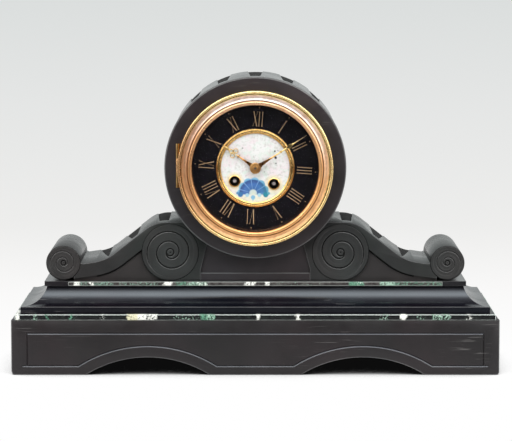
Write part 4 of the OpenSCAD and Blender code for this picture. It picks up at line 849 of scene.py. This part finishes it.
# %% Rules in Geometry Nodes
class Rule(Graph):
    """A geometry tree with named inputs; whole numbers become integer inputs."""

    def __init__(self, name, **sizes):
        super().__init__(bpy.data.node_groups.new(name, "GeometryNodeTree"))
        socket = self.tree.interface.new_socket
        socket("Geometry", in_out="INPUT", socket_type="NodeSocketGeometry")
        for key, value in sizes.items():
            kind = "NodeSocketInt" if isinstance(value, int) else "NodeSocketFloat"
            socket(key.replace("_", " "), in_out="INPUT", socket_type=kind).default_value = value
        socket("Geometry", in_out="OUTPUT", socket_type="NodeSocketGeometry")
        self.given = self.tree.nodes.new("NodeGroupInput").outputs

    def moved(self, shape, **how):
        return self.add("GeometryNodeTransform", Geometry=shape, **how)

    def along_z(self, height):
        return self.add("ShaderNodeCombineXYZ", Z=height)

    def end(self, shape, finish):
        """Ends the tree in real geometry with a material."""
        real = self.add("GeometryNodeRealizeInstances", _0=shape)
        real = self.add("GeometryNodeSetMaterial", Geometry=real, Material=finish)
        self.add("NodeGroupOutput", _0=real)

    def follow(self, points, edges=(), **sizes):
        """The plain mesh that the tree makes of some points in metres."""
        seed = bpy.data.meshes.new("seed")
        seed.from_pydata(points, edges, [])
        carrier = link("seed", seed)
        rule = carrier.modifiers.new("rule", "NODES")
        rule.node_group = self.tree
        for item in self.tree.interface.items_tree:
            key = item.name.replace(" ", "_")
            if item.in_out == "INPUT" and key in sizes:
                rule[item.identifier] = sizes[key]
        graph = bpy.context.evaluated_depsgraph_get()
        mesh = bpy.data.meshes.new_from_object(carrier.evaluated_get(graph), depsgraph=graph)
        bpy.data.objects.remove(carrier)
        bpy.data.meshes.remove(seed)
        return mesh


upright = (math.radians(90), 0, 0)
sweep = Rule("turning", Mean_radius=0.06, Stations=256, Axis_height=0.182)
rail = sweep.add("GeometryNodeCurvePrimitiveCircle", Resolution=sweep.given["Stations"],
                 Radius=sweep.given["Mean radius"])
profile = sweep.add("GeometryNodeMeshToCurve", _0=sweep.given["Geometry"])
ring = sweep.add("GeometryNodeCurveToMesh", _0=rail, _1=profile)
height = sweep.along_z(sweep.given["Axis height"])
sweep.end(sweep.moved(ring, Translation=height, Rotation=upright), bezel_lacquer)
print("rule:", sweep.tree.name, "with inputs", [socket.name for socket in sweep.given if socket.name])

# %% Bezel ring
def post(x, y, low, high, outer, inner):
    """An upright tube, as one knuckle of a hinge."""
    form = bmesh.new()
    section = ((inner, low), (outer - 0.2, low), (outer, low + 0.2), (outer, high - 0.2),
               (outer - 0.2, high), (inner, high))
    return loft(form, [[point(form, *place, z) for place in arc(x, y, r, 0, 360, 24)[:-1]]
                       for r, z in section], ring=True)


def leaf_plate(x0, x1, y0, y1, z0, z1):
    return prism([(x0, z0), (x1, z0), (x1, z1), (x0, z1)], y0, y1)


def bead(r, y, size, start, end, steps):
    """Points of a bead's section from one angle to another; 0 is outwards, 90 is forwards."""
    return arc(r, y, size, -start, -end, steps)


mean = 62.5
section = [(57.9, -57.5), (68.6, -57.5), (68.9, -57.8)] + bead(67.55, -62.45, 1.35, 0, 176, 14)
section += [(66.15, -61.6), (65.95, -61.6)] + bead(65.45, -62.3, 0.5, 20, 170, 6) + [(64.9, -62.2)]
section += [(64.9 - 0.41 * k, -62.2 + 1.15 * math.sin(math.pi * k / 10) + 0.03 * k)
            for k in range(1, 11)]
section += [(60.5, -61.4), (60.25, -61.4)] + bead(58.25, -62.55, 1.75, 8, 168, 14)
section += [(56.25, -62.9), (56.2, -62.6), (57.9, -62.6)]
places = [((r - mean) * mm, y * mm, 0) for r, y in section]
edges = [(k, (k + 1) % len(places)) for k in range(len(places))]
bezel = add_to(bmesh.new(), sweep.follow(places, edges, Mean_radius=mean * mm, Stations=256))
bmesh.ops.recalc_face_normals(bezel, faces=bezel.faces)
bezel = carve(bezel, leaf_plate(-74, -67.0, -59.7, -56.1, 164.7, 204.3))
add_to(bezel, post(-68.7, -57.9, 178.15, 190.85, 1.5, 1.0))
add_to(bezel, leaf_plate(-67.3, -66.2, -60.0, -57.5, 178.2, 190.8))
make_piece("bezel_turned", bezel, "bezel_ring", bezel_lacquer, crisp=50)

# %% [markdown]
# ## Black dial ring
# The chapter ring is polished black slate or glass. After so long it carries dust: small
# pale specks where a noise peaks, and a little haze in its gloss. Under the specks it is
# the darkest thing on the clock.

# %% Chapter ring
f = Finish("dial_black_gloss")
where = f.from_axis()[0]
dust = f.times(f.patches(where, (2.4, 2, 0.4), 0.70, 0.76), f.patches(where, (0.09, 2), 0.42, 0.6))
body = f.mix(f.patches(where, (0.3, 3), 0.4, 0.65), (0.0045, 0.0045, 0.0055), (0.0065, 0.0050, 0.0085))
dial_black = f.done(Base_Color=f.mix(dust, body, (0.09, 0.085, 0.10)),
                    Roughness=f.patches(where, (0.5, 3), 0.35, 0.7, 0.10, 0.20),
                    Normal=f.bump(f.noise(where, 0.4, 2), 0.0002, 0.1))
print("chapter ring finish:", dial_black.name)

# %% [markdown]
# ## Enamel centre
# The centre looks like mother-of-pearl: white with faint pink and green clouds, cream round
# the winding holes, and a few black chips. Under the hands is a blue painted ornament. Here
# it is a plain scallop fan with a drop and two leaves, drawn from the angle and distance
# round the fan's foot.

# %% Enamel finish
f = Finish("enamel_pearl")
where, apart = f.from_axis()[:2]


def spot(x, z, radius, soft):
    """1 inside a disc on the dial, in millimetres from its middle."""
    far = f.length(X=f.minus(apart[0], x), Z=f.minus(apart[2], z))
    return f.fade(far, radius + soft, radius - soft)


body = f.mix(f.patches(where, (0.16, 3, 0.6), 0.45, 0.62), (0.86, 0.865, 0.85), (0.86, 0.78, 0.80))
shifted = f.placed(location=(31, 7, 12), scale=(1000, 1000, 1000))
body = f.mix(f.patches(shifted, (0.2, 3, 0.6), 0.50, 0.66), body, (0.74, 0.84, 0.77))
body = f.mix(f.patches(where, (0.42, 4, 0.65), 0.50, 0.66, 0.0, 0.8), body, (0.58, 0.58, 0.54))
for x, z in key_holes:
    body = f.mix(f.times(spot(x, z - axis_z, 7.2, 1.8), 0.75), body, (0.90, 0.74, 0.40))
body = f.mix(f.times(f.fade(apart[2], -18.0, -27.0), 0.5), body, (0.88, 0.82, 0.56))
px, pz = f.minus(apart[0], -2.0), f.minus(apart[2], -22.5)
reach = f.length(X=px, Z=pz)
ribs = f.unsigned(f.maths("SINE", f.times(f.maths("ARCTAN2", pz, px), 5.5)))
inside = f.fade(f.minus(f.times_plus(ribs, 1.5, 12.8), reach), -0.35, 0.35)
tone = f.ramp(f.maths("DIVIDE", reach, 14.5), (0.0, (0.75, 0.80, 0.60)), (0.20, (0.62, 0.74, 0.70)),
              (0.26, (0.03, 0.13, 0.36)), (0.55, (0.03, 0.15, 0.48)), (0.76, (0.01, 0.07, 0.26)),
              (0.82, (0.01, 0.09, 0.30)), (0.86, (0.16, 0.46, 0.72)), (1.0, (0.30, 0.62, 0.82)))
tone = f.mix(f.ramp(ribs, (0.05, 0.75), (0.28, 0.0)), tone, (0.26, 0.48, 0.80))
tone = f.mix(f.times(f.fade(px, 4.0, 13.0), 0.6), tone, (0.02, 0.26, 0.34))
body = f.mix(f.times(f.times(inside, f.fade(pz, -1.6, -0.8)), 0.95), body, tone)
for x, z, r, colour in ((-2.0, -26.2, 1.9, (0.24, 0.52, 0.74)), (-2.0, -28.2, 0.8, (0.30, 0.58, 0.78)),
                        (-13.2, -23.6, 2.3, (0.05, 0.18, 0.40)), (-15.8, -22.4, 1.2, (0.10, 0.28, 0.50)),
                        (9.2, -23.9, 2.3, (0.03, 0.26, 0.34)), (11.8, -22.7, 1.3, (0.12, 0.42, 0.50)),
                        (-7.2, -24.2, 1.7, (0.40, 0.66, 0.78)), (3.6, -24.2, 1.7, (0.40, 0.66, 0.78)),
                        (17.3, 14.9, 0.75, (0.02, 0.015, 0.02)), (18.0, 9.1, 1.15, (0.03, 0.02, 0.03)),
                        (18.3, 4.1, 0.6, (0.04, 0.03, 0.04)), (-11.2, 17.6, 0.6, (0.25, 0.26, 0.25)),
                        (20.0, 15.6, 0.5, (0.30, 0.24, 0.26)), (8.0, -3.5, 0.5, (0.35, 0.36, 0.34))):
    body = f.mix(spot(x, z, r, 0.2), body, colour)
enamel = f.done(Base_Color=f.mix(0.17, body, (0, 0, 0)), Roughness=0.30, Specular_IOR_Level=0.3,
                Normal=f.bump(f.noise(where, 0.25, 3), 0.0003, 0.15))
print("enamel finish:", len(f.tree.nodes), "nodes")

# %% [markdown]
# ## Numerals, dots and hands
# The numerals are slim gilt bars with a ridge, set side by side; in V and X only the broad
# stroke shows, the other is a hairline. Each bar is given by where its foot and its head
# stand beside the numeral's middle. Each has a small serif at either end. The whole
# dial stands four degrees askew in its case, so every place on it goes through one turn.

# %% Numerals
dial_turn = 4.0


def on_dial(u, v, degrees):
    """A point u to the right and v out from the middle, on a dial turned clockwise."""
    a = math.radians(degrees)
    return u * math.cos(a) + v * math.sin(a), axis_z - u * math.sin(a) + v * math.cos(a)


def ridged_bar(form, corners, degrees, front, back, inset):
    """A low bar with sloping flanks over four (u, v) corners."""
    cu, cv = (sum(corner[i] for corner in corners) / 4 for i in (0, 1))
    low, high = [], []
    for u, v in corners:
        x, z = on_dial(u, v, degrees)
        low.append(point(form, x, back, z))
        pull, lift = (math.copysign(min(inset, abs(gap) * 0.9), gap) for gap in (cu - u, cv - v))
        x, z = on_dial(u + pull, v + lift, degrees)
        high.append(point(form, x, front, z))
    loft(form, [low, high])


inner, outer, broad, hair, dial_y = 37.2, 49.9, 0.58, 0.12, -52.79
strokes = (
    ((-0.3, -0.4),), ((-1.25, -1.25), (1.25, 1.25)), ((-3.3, -3.3), (-0.7, -0.7), (1.9, 1.9)),
    ((-2.9, -2.9), (-0.4, -0.4), (2.3, 2.3), (4.9, 4.9)), ((0.95, -1.6), (1.0, 1.9)),
    ((-0.9, -2.0), (-0.8, 1.6), (4.2, 3.8)), ((-2.4, -4.5), (-2.3, -0.6), (1.3, 1.3), (4.1, 4.1)),
    ((-3.7, -5.6), (-3.6, -1.9), (0.1, 0.1), (2.8, 2.8), (5.4, 5.4)),
    ((-2.8, -2.8), (3.0, -0.7), (-0.7, 3.0)), ((0.6, -2.8), (-2.8, 0.6)),
    ((-0.25, -3.4), (-3.4, -0.25), (1.7, 1.7)), ((-1.4, -4.8), (-4.8, -1.4), (0.45, 0.45), (3.2, 3.2)))
form = bmesh.new()
for hour, row in enumerate(strokes, 1):
    turn = hour * 30 + dial_turn
    for foot_u, head_u in row:
        w = (hair if head_u > foot_u + 0.5 else broad) / 2
        stroke = [(foot_u - w, inner), (foot_u + w, inner), (head_u + w, outer), (head_u - w, outer)]
        ridged_bar(form, stroke, turn, -53.08, dial_y, 0.14)
        for u, v in ((foot_u, inner), (head_u, outer)):
            serif = [(u + a * (w + 0.42), v + b * 0.14)
                     for a, b in ((-1, -1), (1, -1), (1, 1), (-1, 1))]
            ridged_bar(form, serif, turn, -53.0, dial_y, 0.05)
make_piece("numerals_gilt", form, "hour_numerals", numeral_gilt, crisp=20)

# %% [markdown]
# A gilt dot marks each hour. They repeat, so a rule sets one flat dot on every corner of a
# ring, and the number of dots and the turn of the dial are its inputs.

# %% Hour dots by a rule
dotted = Rule("ring_of_dots", Ring_radius=0.0536, Dot_radius=0.0005, Count=12, Askew=0.0)
ring = dotted.add("GeometryNodeMeshCircle", Vertices=dotted.given["Count"],
                  Radius=dotted.given["Ring radius"])
dot = dotted.add("GeometryNodeMeshIcoSphere", Radius=dotted.given["Dot radius"], Subdivisions=2)
dot = dotted.moved(dot, Scale=(1, 1, 0.45))
many = dotted.add("GeometryNodeInstanceOnPoints", Points=ring, Instance=dot)
many = dotted.moved(many, Rotation=dotted.along_z(dotted.given["Askew"]))
dotted.end(dotted.moved(many, Translation=(0, -0.05284, 0.182), Rotation=upright), numeral_gilt)
dots = dotted.follow([(0, 0, 0)], Dot_radius=0.4 * mm, Askew=math.radians(-dial_turn))
make_piece("hour_dots", dots, "hour_numerals", replace=False)

# %% [markdown]
# The hands are filed from thin sheet and domed. A hand here is a line of stations, each
# with a half width, and a ridge runs along the middle. The hour hand carries a pierced
# trefoil of three small rings over a cross bar, the minute hand a lozenge.

# %% Hands
def blade(form, stations, degrees, front, back):
    """A ridged blade: stations are (distance from the middle, half width)."""
    rows = []
    for v, w in stations:
        row = []
        for u, y in ((-w, front + 0.38), (0, front), (w, front + 0.38), (w, back), (-w, back)):
            x, z = on_dial(u, v, degrees)
            row.append(point(form, x, y, z))
        rows.append(row)
    loft(form, rows)


hour_at, minute_at = 305.2, 57.2
form = turned([(2.62, -54.5), (2.62, -55.2), (2.9, -55.4), (4.2, -55.35), (4.8, -55.0), (4.8, -54.5)],
              steps=64, finish=1)
blade(form, [(3.6, 1.9), (8, 1.15), (13, 0.72), (17.5, 0.55), (20.5, 0.5)], hour_at, -55.38, -54.55)
blade(form, [(17.4, 0.2), (17.8, 1.7), (18.5, 1.7), (18.9, 0.2)], hour_at, -55.35, -54.6)
for u, v, r, wire, steps, sides in ((-2.6, 22.9, 1.9, 0.38, 28, 10), (2.6, 22.9, 1.9, 0.38, 28, 10),
                                    (0, 26.2, 1.6, 0.38, 28, 10), (0, 23.4, 0.75, 0.36, 20, 8)):
    add_to(form, turned(arc(r, -54.98, wire, 0, 360, sides)[:-1], *on_dial(u, v, hour_at), steps=steps))
blade(form, [(27.4, 0.4), (28.6, 1.05), (30.2, 1.35), (31.6, 0.9), (32.8, 0.42), (35.6, 0.16)],
      hour_at, -55.38, -54.6)
make_piece("hour_hand_trefoil", form, "hour_hand", hand_gilt, bronze, crisp=35)
form = turned([(1.72, -56.4), (1.72, -57.1), (2.6, -57.3), (4.3, -57.25), (4.9, -56.9), (4.9, -56.4)],
              steps=64, finish=1)
blade(form, [(4.0, 2.3), (7, 1.6), (12, 1.05), (18, 0.72), (25.6, 0.46), (26.4, 1.15), (27.4, 1.15),
             (28.2, 0.5), (32.4, 0.62), (34.2, 1.25), (36.2, 1.95), (38.2, 1.0), (40.2, 0.45),
             (54.0, 0.16)], minute_at, -57.28, -56.45)
make_piece("minute_hand_lozenge", form, "minute_hand", hand_gilt, bronze, crisp=35)
form = turned([(0.82, -57.3), (2.45, -57.3), (2.5, -57.7), (2.2, -58.1), (1.6, -58.2), (0.82, -58.2)],
              steps=48)
make_piece("hand_collet_turned", form, "hand_collet", bronze, crisp=35)

# %% [markdown]
# ## Rear door
# A turned brass lid closes the back of the drum. A rolled rim stiffens the thin sheet, two
# beads and a small boss are left standing by the lathe, and a turned knob at the free edge
# opens it. The lid, its hinge leaf and the middle knuckle swing as one.

# %% Door, knob and knuckle
lid = [(0, 51.5), (52.5, 51.5)] + bead(51.2, 53.3, 1.3, 0, -180, 12) + [(49.7, 53.1), (35.0, 53.1)]
lid += bead(34.2, 53.1, 0.7, 0, -180, 6) + [(32.5, 52.9), (31.5, 52.9), (31.0, 53.1), (9.4, 53.1)]
lid += bead(8.6, 53.1, 0.6, 0, -180, 6) + [(7.0, 52.9), (3.4, 53.0), (2.6, 53.7), (1.4, 54.1), (0, 54.2)]
knob = [(0, 53.0), (2.7, 53.0), (2.7, 53.4), (1.6, 53.9), (1.25, 54.8), (1.6, 55.5), (2.6, 56.2),
        (3.0, 57.2), (2.8, 58.2), (2.0, 58.9), (0.9, 59.1), (0, 59.1)]
door = turned(lid, steps=160)
add_to(door, turned(knob, cx=-45.5, steps=40))
add_to(door, post(55.0, 52.3, 178.15, 185.85, 2.2, 1.0))
add_to(door, leaf_plate(50.5, 53.6, 51.55, 53.05, 178.2, 185.8))
make_piece("rear_door_turned", door, "rear_door", door_brass, crisp=40)

# %% [markdown]
# ## Screws
# The pillars of the movement and its straps are held by cheese-head screws, and a screw
# repeats. Geometry Nodes builds one head: a short cylinder met with a flat sphere for the
# domed top, less a bar for the slot. It then stands on every given point, each slot at its
# own angle.

# %% Screw rule
screws = Rule("slotted_screws", Head_radius=0.0022, Head_height=0.0016, Dome_radius=0.006,
              Slot_width=0.0006)
head_r, head_h, dome_r = (screws.given[name] for name in ("Head radius", "Head height", "Dome radius"))
half_h = screws.times(head_h, 0.5)
shank = screws.add("GeometryNodeMeshCylinder", Vertices=28, Radius=head_r, Depth=head_h)
ball = screws.add("GeometryNodeMeshUVSphere", Segments=28, Rings=40, Radius=dome_r)
ball = screws.moved(ball, Translation=screws.along_z(screws.minus(half_h, dome_r)))
domed = screws.add("GeometryNodeMeshBoolean", {"operation": "INTERSECT"}, Mesh_2=shank)
screws.feed(domed.node.inputs["Mesh 2"], ball)
bar = screws.add("ShaderNodeCombineXYZ", X=screws.times(head_r, 2.6), Y=screws.given["Slot width"],
                 Z=screws.times(head_h, 0.66))
bar = screws.moved(screws.add("GeometryNodeMeshCube", Size=bar), Translation=screws.along_z(half_h))
head = screws.add("GeometryNodeMeshBoolean", {"operation": "DIFFERENCE"}, Mesh_1=domed, Mesh_2=bar)
turn = screws.times_plus(screws.add("GeometryNodeInputIndex"), 1.9, 0.4)
aim = screws.add("ShaderNodeCombineXYZ", X=math.radians(-90), Y=turn)
screws.end(screws.add("GeometryNodeInstanceOnPoints", Points=screws.given["Geometry"], Instance=head,
                      Rotation=aim), steel)
print("rule:", screws.tree.name, "with", len(screws.tree.nodes), "nodes")

# %% [markdown]
# One rule serves two kinds of screw. Only the places and the sizes differ, and they go in
# through the named inputs.

# %% Screw heads
pillars = [(-2.6, 144.59), (37.51, 181.34), (24.12, 210.73), (-32.38, 202.24)]
strap_ends = [on_circle(0, axis_z, r, 20) for r in (56.1, -56.1)]
for name, node, places, base, head_r, head_h, dome_r, slot in (
        ("pillar_screws", "plate_pillars", pillars, 6.82, 2.2, 1.6, 6.5, 0.6),
        ("strap_screws", "movement_straps", strap_ends, 51.32, 2.75, 1.9, 13, 0.7)):
    heads = screws.follow([(x * mm, (base + head_h / 2) * mm, z * mm) for x, z in places],
                          Head_radius=head_r * mm, Head_height=head_h * mm, Dome_radius=dome_r * mm,
                          Slot_width=slot * mm)
    make_piece(name, heads, node, crisp=30, replace=False)

# %% [markdown]
# ## Pendulum bob
# The bob is a brass lens, thin at its rim so that it cuts the air, bored for the rod. It
# rests on a rating nut. The nut's knurled edge is a star drawn along a short line, again a
# rule: the number of ridges and their depth are its inputs.

# %% Bob and rating nut
bob_x, bob_z, rod_y = 2.2, 102.3, 16.3
lens = []
for k in range(13):
    r = 17 * k / 12
    lens.append((r, 4.5 * math.sqrt(1 - (r / 17.5) ** 2) - (0.25 if k == 8 else 0)))
profile = [(r, rod_y - t) for r, t in lens] + [(r, rod_y + t) for r, t in reversed(lens)]
bore = bmesh.new()
bmesh.ops.create_cone(bore, cap_ends=True, segments=24, radius1=0.87 * mm, radius2=0.87 * mm,
                      depth=50 * mm, matrix=Matrix.Translation(Vector((bob_x, rod_y, bob_z)) * mm))
bob = carve(turned(profile, bob_x, bob_z, steps=96), bore)
knurl = Rule("knurled_nut", Ridges=40, Outer_radius=0.0032, Depth=0.00022, Height=0.003)
outer_r = knurl.given["Outer radius"]
star = knurl.add("GeometryNodeCurveStar", Points=knurl.given["Ridges"], Outer_Radius=outer_r,
                 Inner_Radius=knurl.minus(outer_r, knurl.given["Depth"]))
stem = knurl.add("GeometryNodeCurvePrimitiveLine", End=knurl.along_z(knurl.given["Height"]))
nut = knurl.add("GeometryNodeCurveToMesh", Curve=stem, Profile_Curve=star, Fill_Caps=True)
knurl.end(knurl.add("GeometryNodeInstanceOnPoints", Points=knurl.given["Geometry"], Instance=nut), brass)
nut = add_to(bmesh.new(), knurl.follow([(bob_x * mm, rod_y * mm, 82.25 * mm)], Ridges=40,
                                       Outer_radius=3.2 * mm, Depth=0.22 * mm, Height=2.95 * mm))
bmesh.ops.remove_doubles(nut, verts=nut.verts, dist=1e-6)
bmesh.ops.recalc_face_normals(nut, faces=nut.faces)
bob_brass = metal_finish("brass_turned_bob", (0.78, 0.58, 0.26), (0.62, 0.43, 0.18), 0.22, rings=1.2,
                         axis=(bob_x, bob_z))
make_piece("pendulum_bob_lens", add_to(bob, nut), "pendulum_bob", bob_brass, crisp=25)

# %% [markdown]
# ## Dressing the frame's own nodes
# What the frame already shapes truly keeps its mesh and only gets its finish.

# %% Finishes of the remaining nodes
f = Finish("bezel_glass_clear")
glass = f.done(Base_Color=(0.02, 0.02, 0.02, 1), Alpha=0.035,
               Roughness=f.patches(f.placed(), (60, 3), 0.4, 0.7, 0.02, 0.07))
by_slot = {"slate": slate_back, "marble": marble, "gilt": gilt, "copper_gilt": copper, "brass": brass,
           "steel": steel, "dial_black": dial_black, "enamel": enamel, "glass": glass}
finish_of = {node: by_slot[slot] for node, slot in slot_of_node.items()}
finish_of.update(bezel_seat=seat_gilt_shaded, rear_door_frame=frame_brass, going_winding_arbor=arbor_steel_glint_and_shade,
                 strike_winding_arbor=arbor_steel_glint_and_shade)
for node in ("crutch", "going_click", "strike_click", "going_mainspring", "strike_mainspring"):
    finish_of[node] = blued
cores = {"strike_bell": 3.2, "pallet_anchor": 40, "cannon_pinion": 3.6, "going_barrel": None,
         "strike_barrel": None}
wheels = ("centre", "intermediate", "third", "escape", "minute", "hour", "count", "pin", "locking")
cores.update((name + "_wheel", 3.1) for name in wheels)
for node, core in cores.items():
    spots = [v.co / mm for v in frame["nodes"][node].data.vertices]
    axis = tuple((min(p[i] for p in spots) + max(p[i] for p in spots)) / 2 for i in (0, 2))
    finish_of[node] = metal_finish("turned_" + node, (0.74, 0.55, 0.25), (0.62, 0.44, 0.19), 0.24,
                                   rings=0.8, axis=axis, core=core)
for node, material in finish_of.items():
    slots = frame["nodes"][node].data.materials
    slots.clear()
    slots.append(material)
print("nodes finished:", len(finish_of))

# %% [markdown]
# ## Studio
# A pale sweep of paper stands under and behind the clock. What the camera and the
# reflections see of it is set in its own material: near white on the floor, a little
# grey at the top, dark only where the clock shades it. In front, towards the camera, the
# room is dark, which is why polished black stays black there.

# %% Paper sweep
line = [(-6.0, 0.0), (-1.0, 0.0), (1.0, 0.0), (2.9, 0.0)] + arc(2.9, 0.9, 0.9, -90, 0, 16)[1:]
line += [(3.8, 1.6), (3.8, 3.6)]
half_width, below = 5.0, 0.00002
corners = [(side * half_width, y, z - below) for y, z in line for side in (-1, 1)]
strips = [(2 * k, 2 * k + 1, 2 * k + 3, 2 * k + 2) for k in range(len(line) - 1)]
paper_mesh = bpy.data.meshes.new("paper_sweep")
paper_mesh.from_pydata(corners, [], strips)
paper_mesh.shade_smooth()
link("paper_sweep", paper_mesh)
print("paper sweep:", len(strips), "strips")

# %% Paper finish
paper_finish = bpy.data.materials.new("paper")
paper_finish.use_nodes = True
f = Graph(paper_finish.node_tree)
apart = f.apart(f.add("ShaderNodeTexCoord").node.outputs["Object"])
away = f.larger(f.plus(apart[1], -eye_place[1]), 0.05)
run = f.fade(f.maths("DIVIDE", f.minus(eye_place[2], apart[2]), away), -0.10, 0.20)
tone = f.ramp(run, (0.06, (0.60, 0.63, 0.63)), (0.315, (0.66, 0.69, 0.685)), (0.545, (0.78, 0.79, 0.785)),
              (0.70, (0.85, 0.85, 0.84)), (0.79, (0.955, 0.95, 0.945)), (0.878, (1.0, 1.0, 1.0)))
shade = f.add("ShaderNodeAmbientOcclusion", {"samples": 12}, Distance=0.16).node.outputs["AO"]
shade = f.ramp(shade, (0.16, 0.004), (0.40, 0.40), (0.60, 1.0), smooth=True)
seen = f.mix(1.0, tone, shade, "MULTIPLY")
ray = f.add("ShaderNodeLightPath").node.outputs
room = f.add("ShaderNodeMapRange", _0=apart[1], _1=-0.13, _2=-0.5, _3=1.0, _4=0.05)
room = f.add("ShaderNodeCombineColor", Red=room, Green=room, Blue=room)
seen = f.mix(ray["Is Glossy Ray"], seen, f.mix(1.0, seen, room, "MULTIPLY"))
glow = f.add("ShaderNodeEmission", Color=seen, Strength=1.0)
dull = f.add("ShaderNodeBsdfDiffuse", Color=(0.75, 0.76, 0.76, 1))
direct = f.larger(ray["Is Camera Ray"], f.larger(ray["Is Glossy Ray"], ray["Is Transmission Ray"]))
f.add("ShaderNodeOutputMaterial", Surface=f.add("ShaderNodeMixShader", _0=direct, _1=dull, _2=glow))
paper_mesh.materials.append(paper_finish)
print("paper finish:", len(f.tree.nodes), "nodes")

# %% [markdown]
# One long soft light hangs above and a little in front. In the hollow moulding it shows as
# the broad pale band. It is painted into the world as a belt of light that runs from left
# to right, so its reflection is even along the whole clock. Angles are counted from the
# dark horizon in front, over the top, to the pale horizon behind.

# %% World
world = bpy.data.worlds.new("studio")
bpy.context.scene.world = world
world.use_nodes = True
f = Graph(world.node_tree)
way = f.apart(f.add("ShaderNodeTexCoord").node.outputs["Generated"])
over = f.maths("DIVIDE", f.maths("ARCTAN2", way[2], f.times(way[1], -1.0)), math.pi)
belt = f.ramp(over, (0.0, 0.003), (0.15, 0.004), (0.205, 0.08), (0.24, 0.47), (0.267, 0.62), (0.30, 0.78),
              (0.335, 0.88), (0.372, 0.82), (0.415, 0.52), (0.46, 0.20), (0.51, 0.11), (0.56, 0.07),
              (0.62, 0.035), (0.70, 0.02), (0.78, 0.02), (0.86, 0.05), (0.93, 0.095), (1.0, 0.095))
flank = f.ramp(way[2], (0.0, 0.05), (0.25, 0.09), (0.7, 0.16))
level = f.mix(f.fade(f.unsigned(way[0]), 0.70, 0.93), belt, flank)
lit = f.add("ShaderNodeBackground", Color=level, Strength=6.3)
plain_air = f.add("ShaderNodeBackground", Color=(0.62, 0.645, 0.645, 1), Strength=1.0)
ray = f.add("ShaderNodeLightPath").node.outputs["Is Camera Ray"]
f.add("ShaderNodeOutputWorld", Surface=f.add("ShaderNodeMixShader", _0=ray, _1=lit, _2=plain_air))
print("world:", len(f.tree.nodes), "nodes")

# %% [markdown]
# Two weak soft boxes, left and right of the camera, lift the upright faces, which the belt
# above leaves dark.

# %% Lamps
aim = Vector((0, 0, 0.12))
for name, x, power, tint in (("front_left_softbox", -1.7, 12, (1.0, 0.97, 0.95)),
                             ("front_right_softbox", 1.7, 15, (1.0, 0.96, 0.96))):
    light = bpy.data.lights.new(name, "AREA")
    light.shape, light.size, light.size_y = "RECTANGLE", 1.0, 1.1
    light.energy, light.color = power, tint
    box = link(name, light)
    box.location = (x, -1.3, 0.85)
    box.rotation_euler = (aim - box.location).to_track_quat("-Z", "Y").to_euler()
    print(name, power, "W")

# %% [markdown]
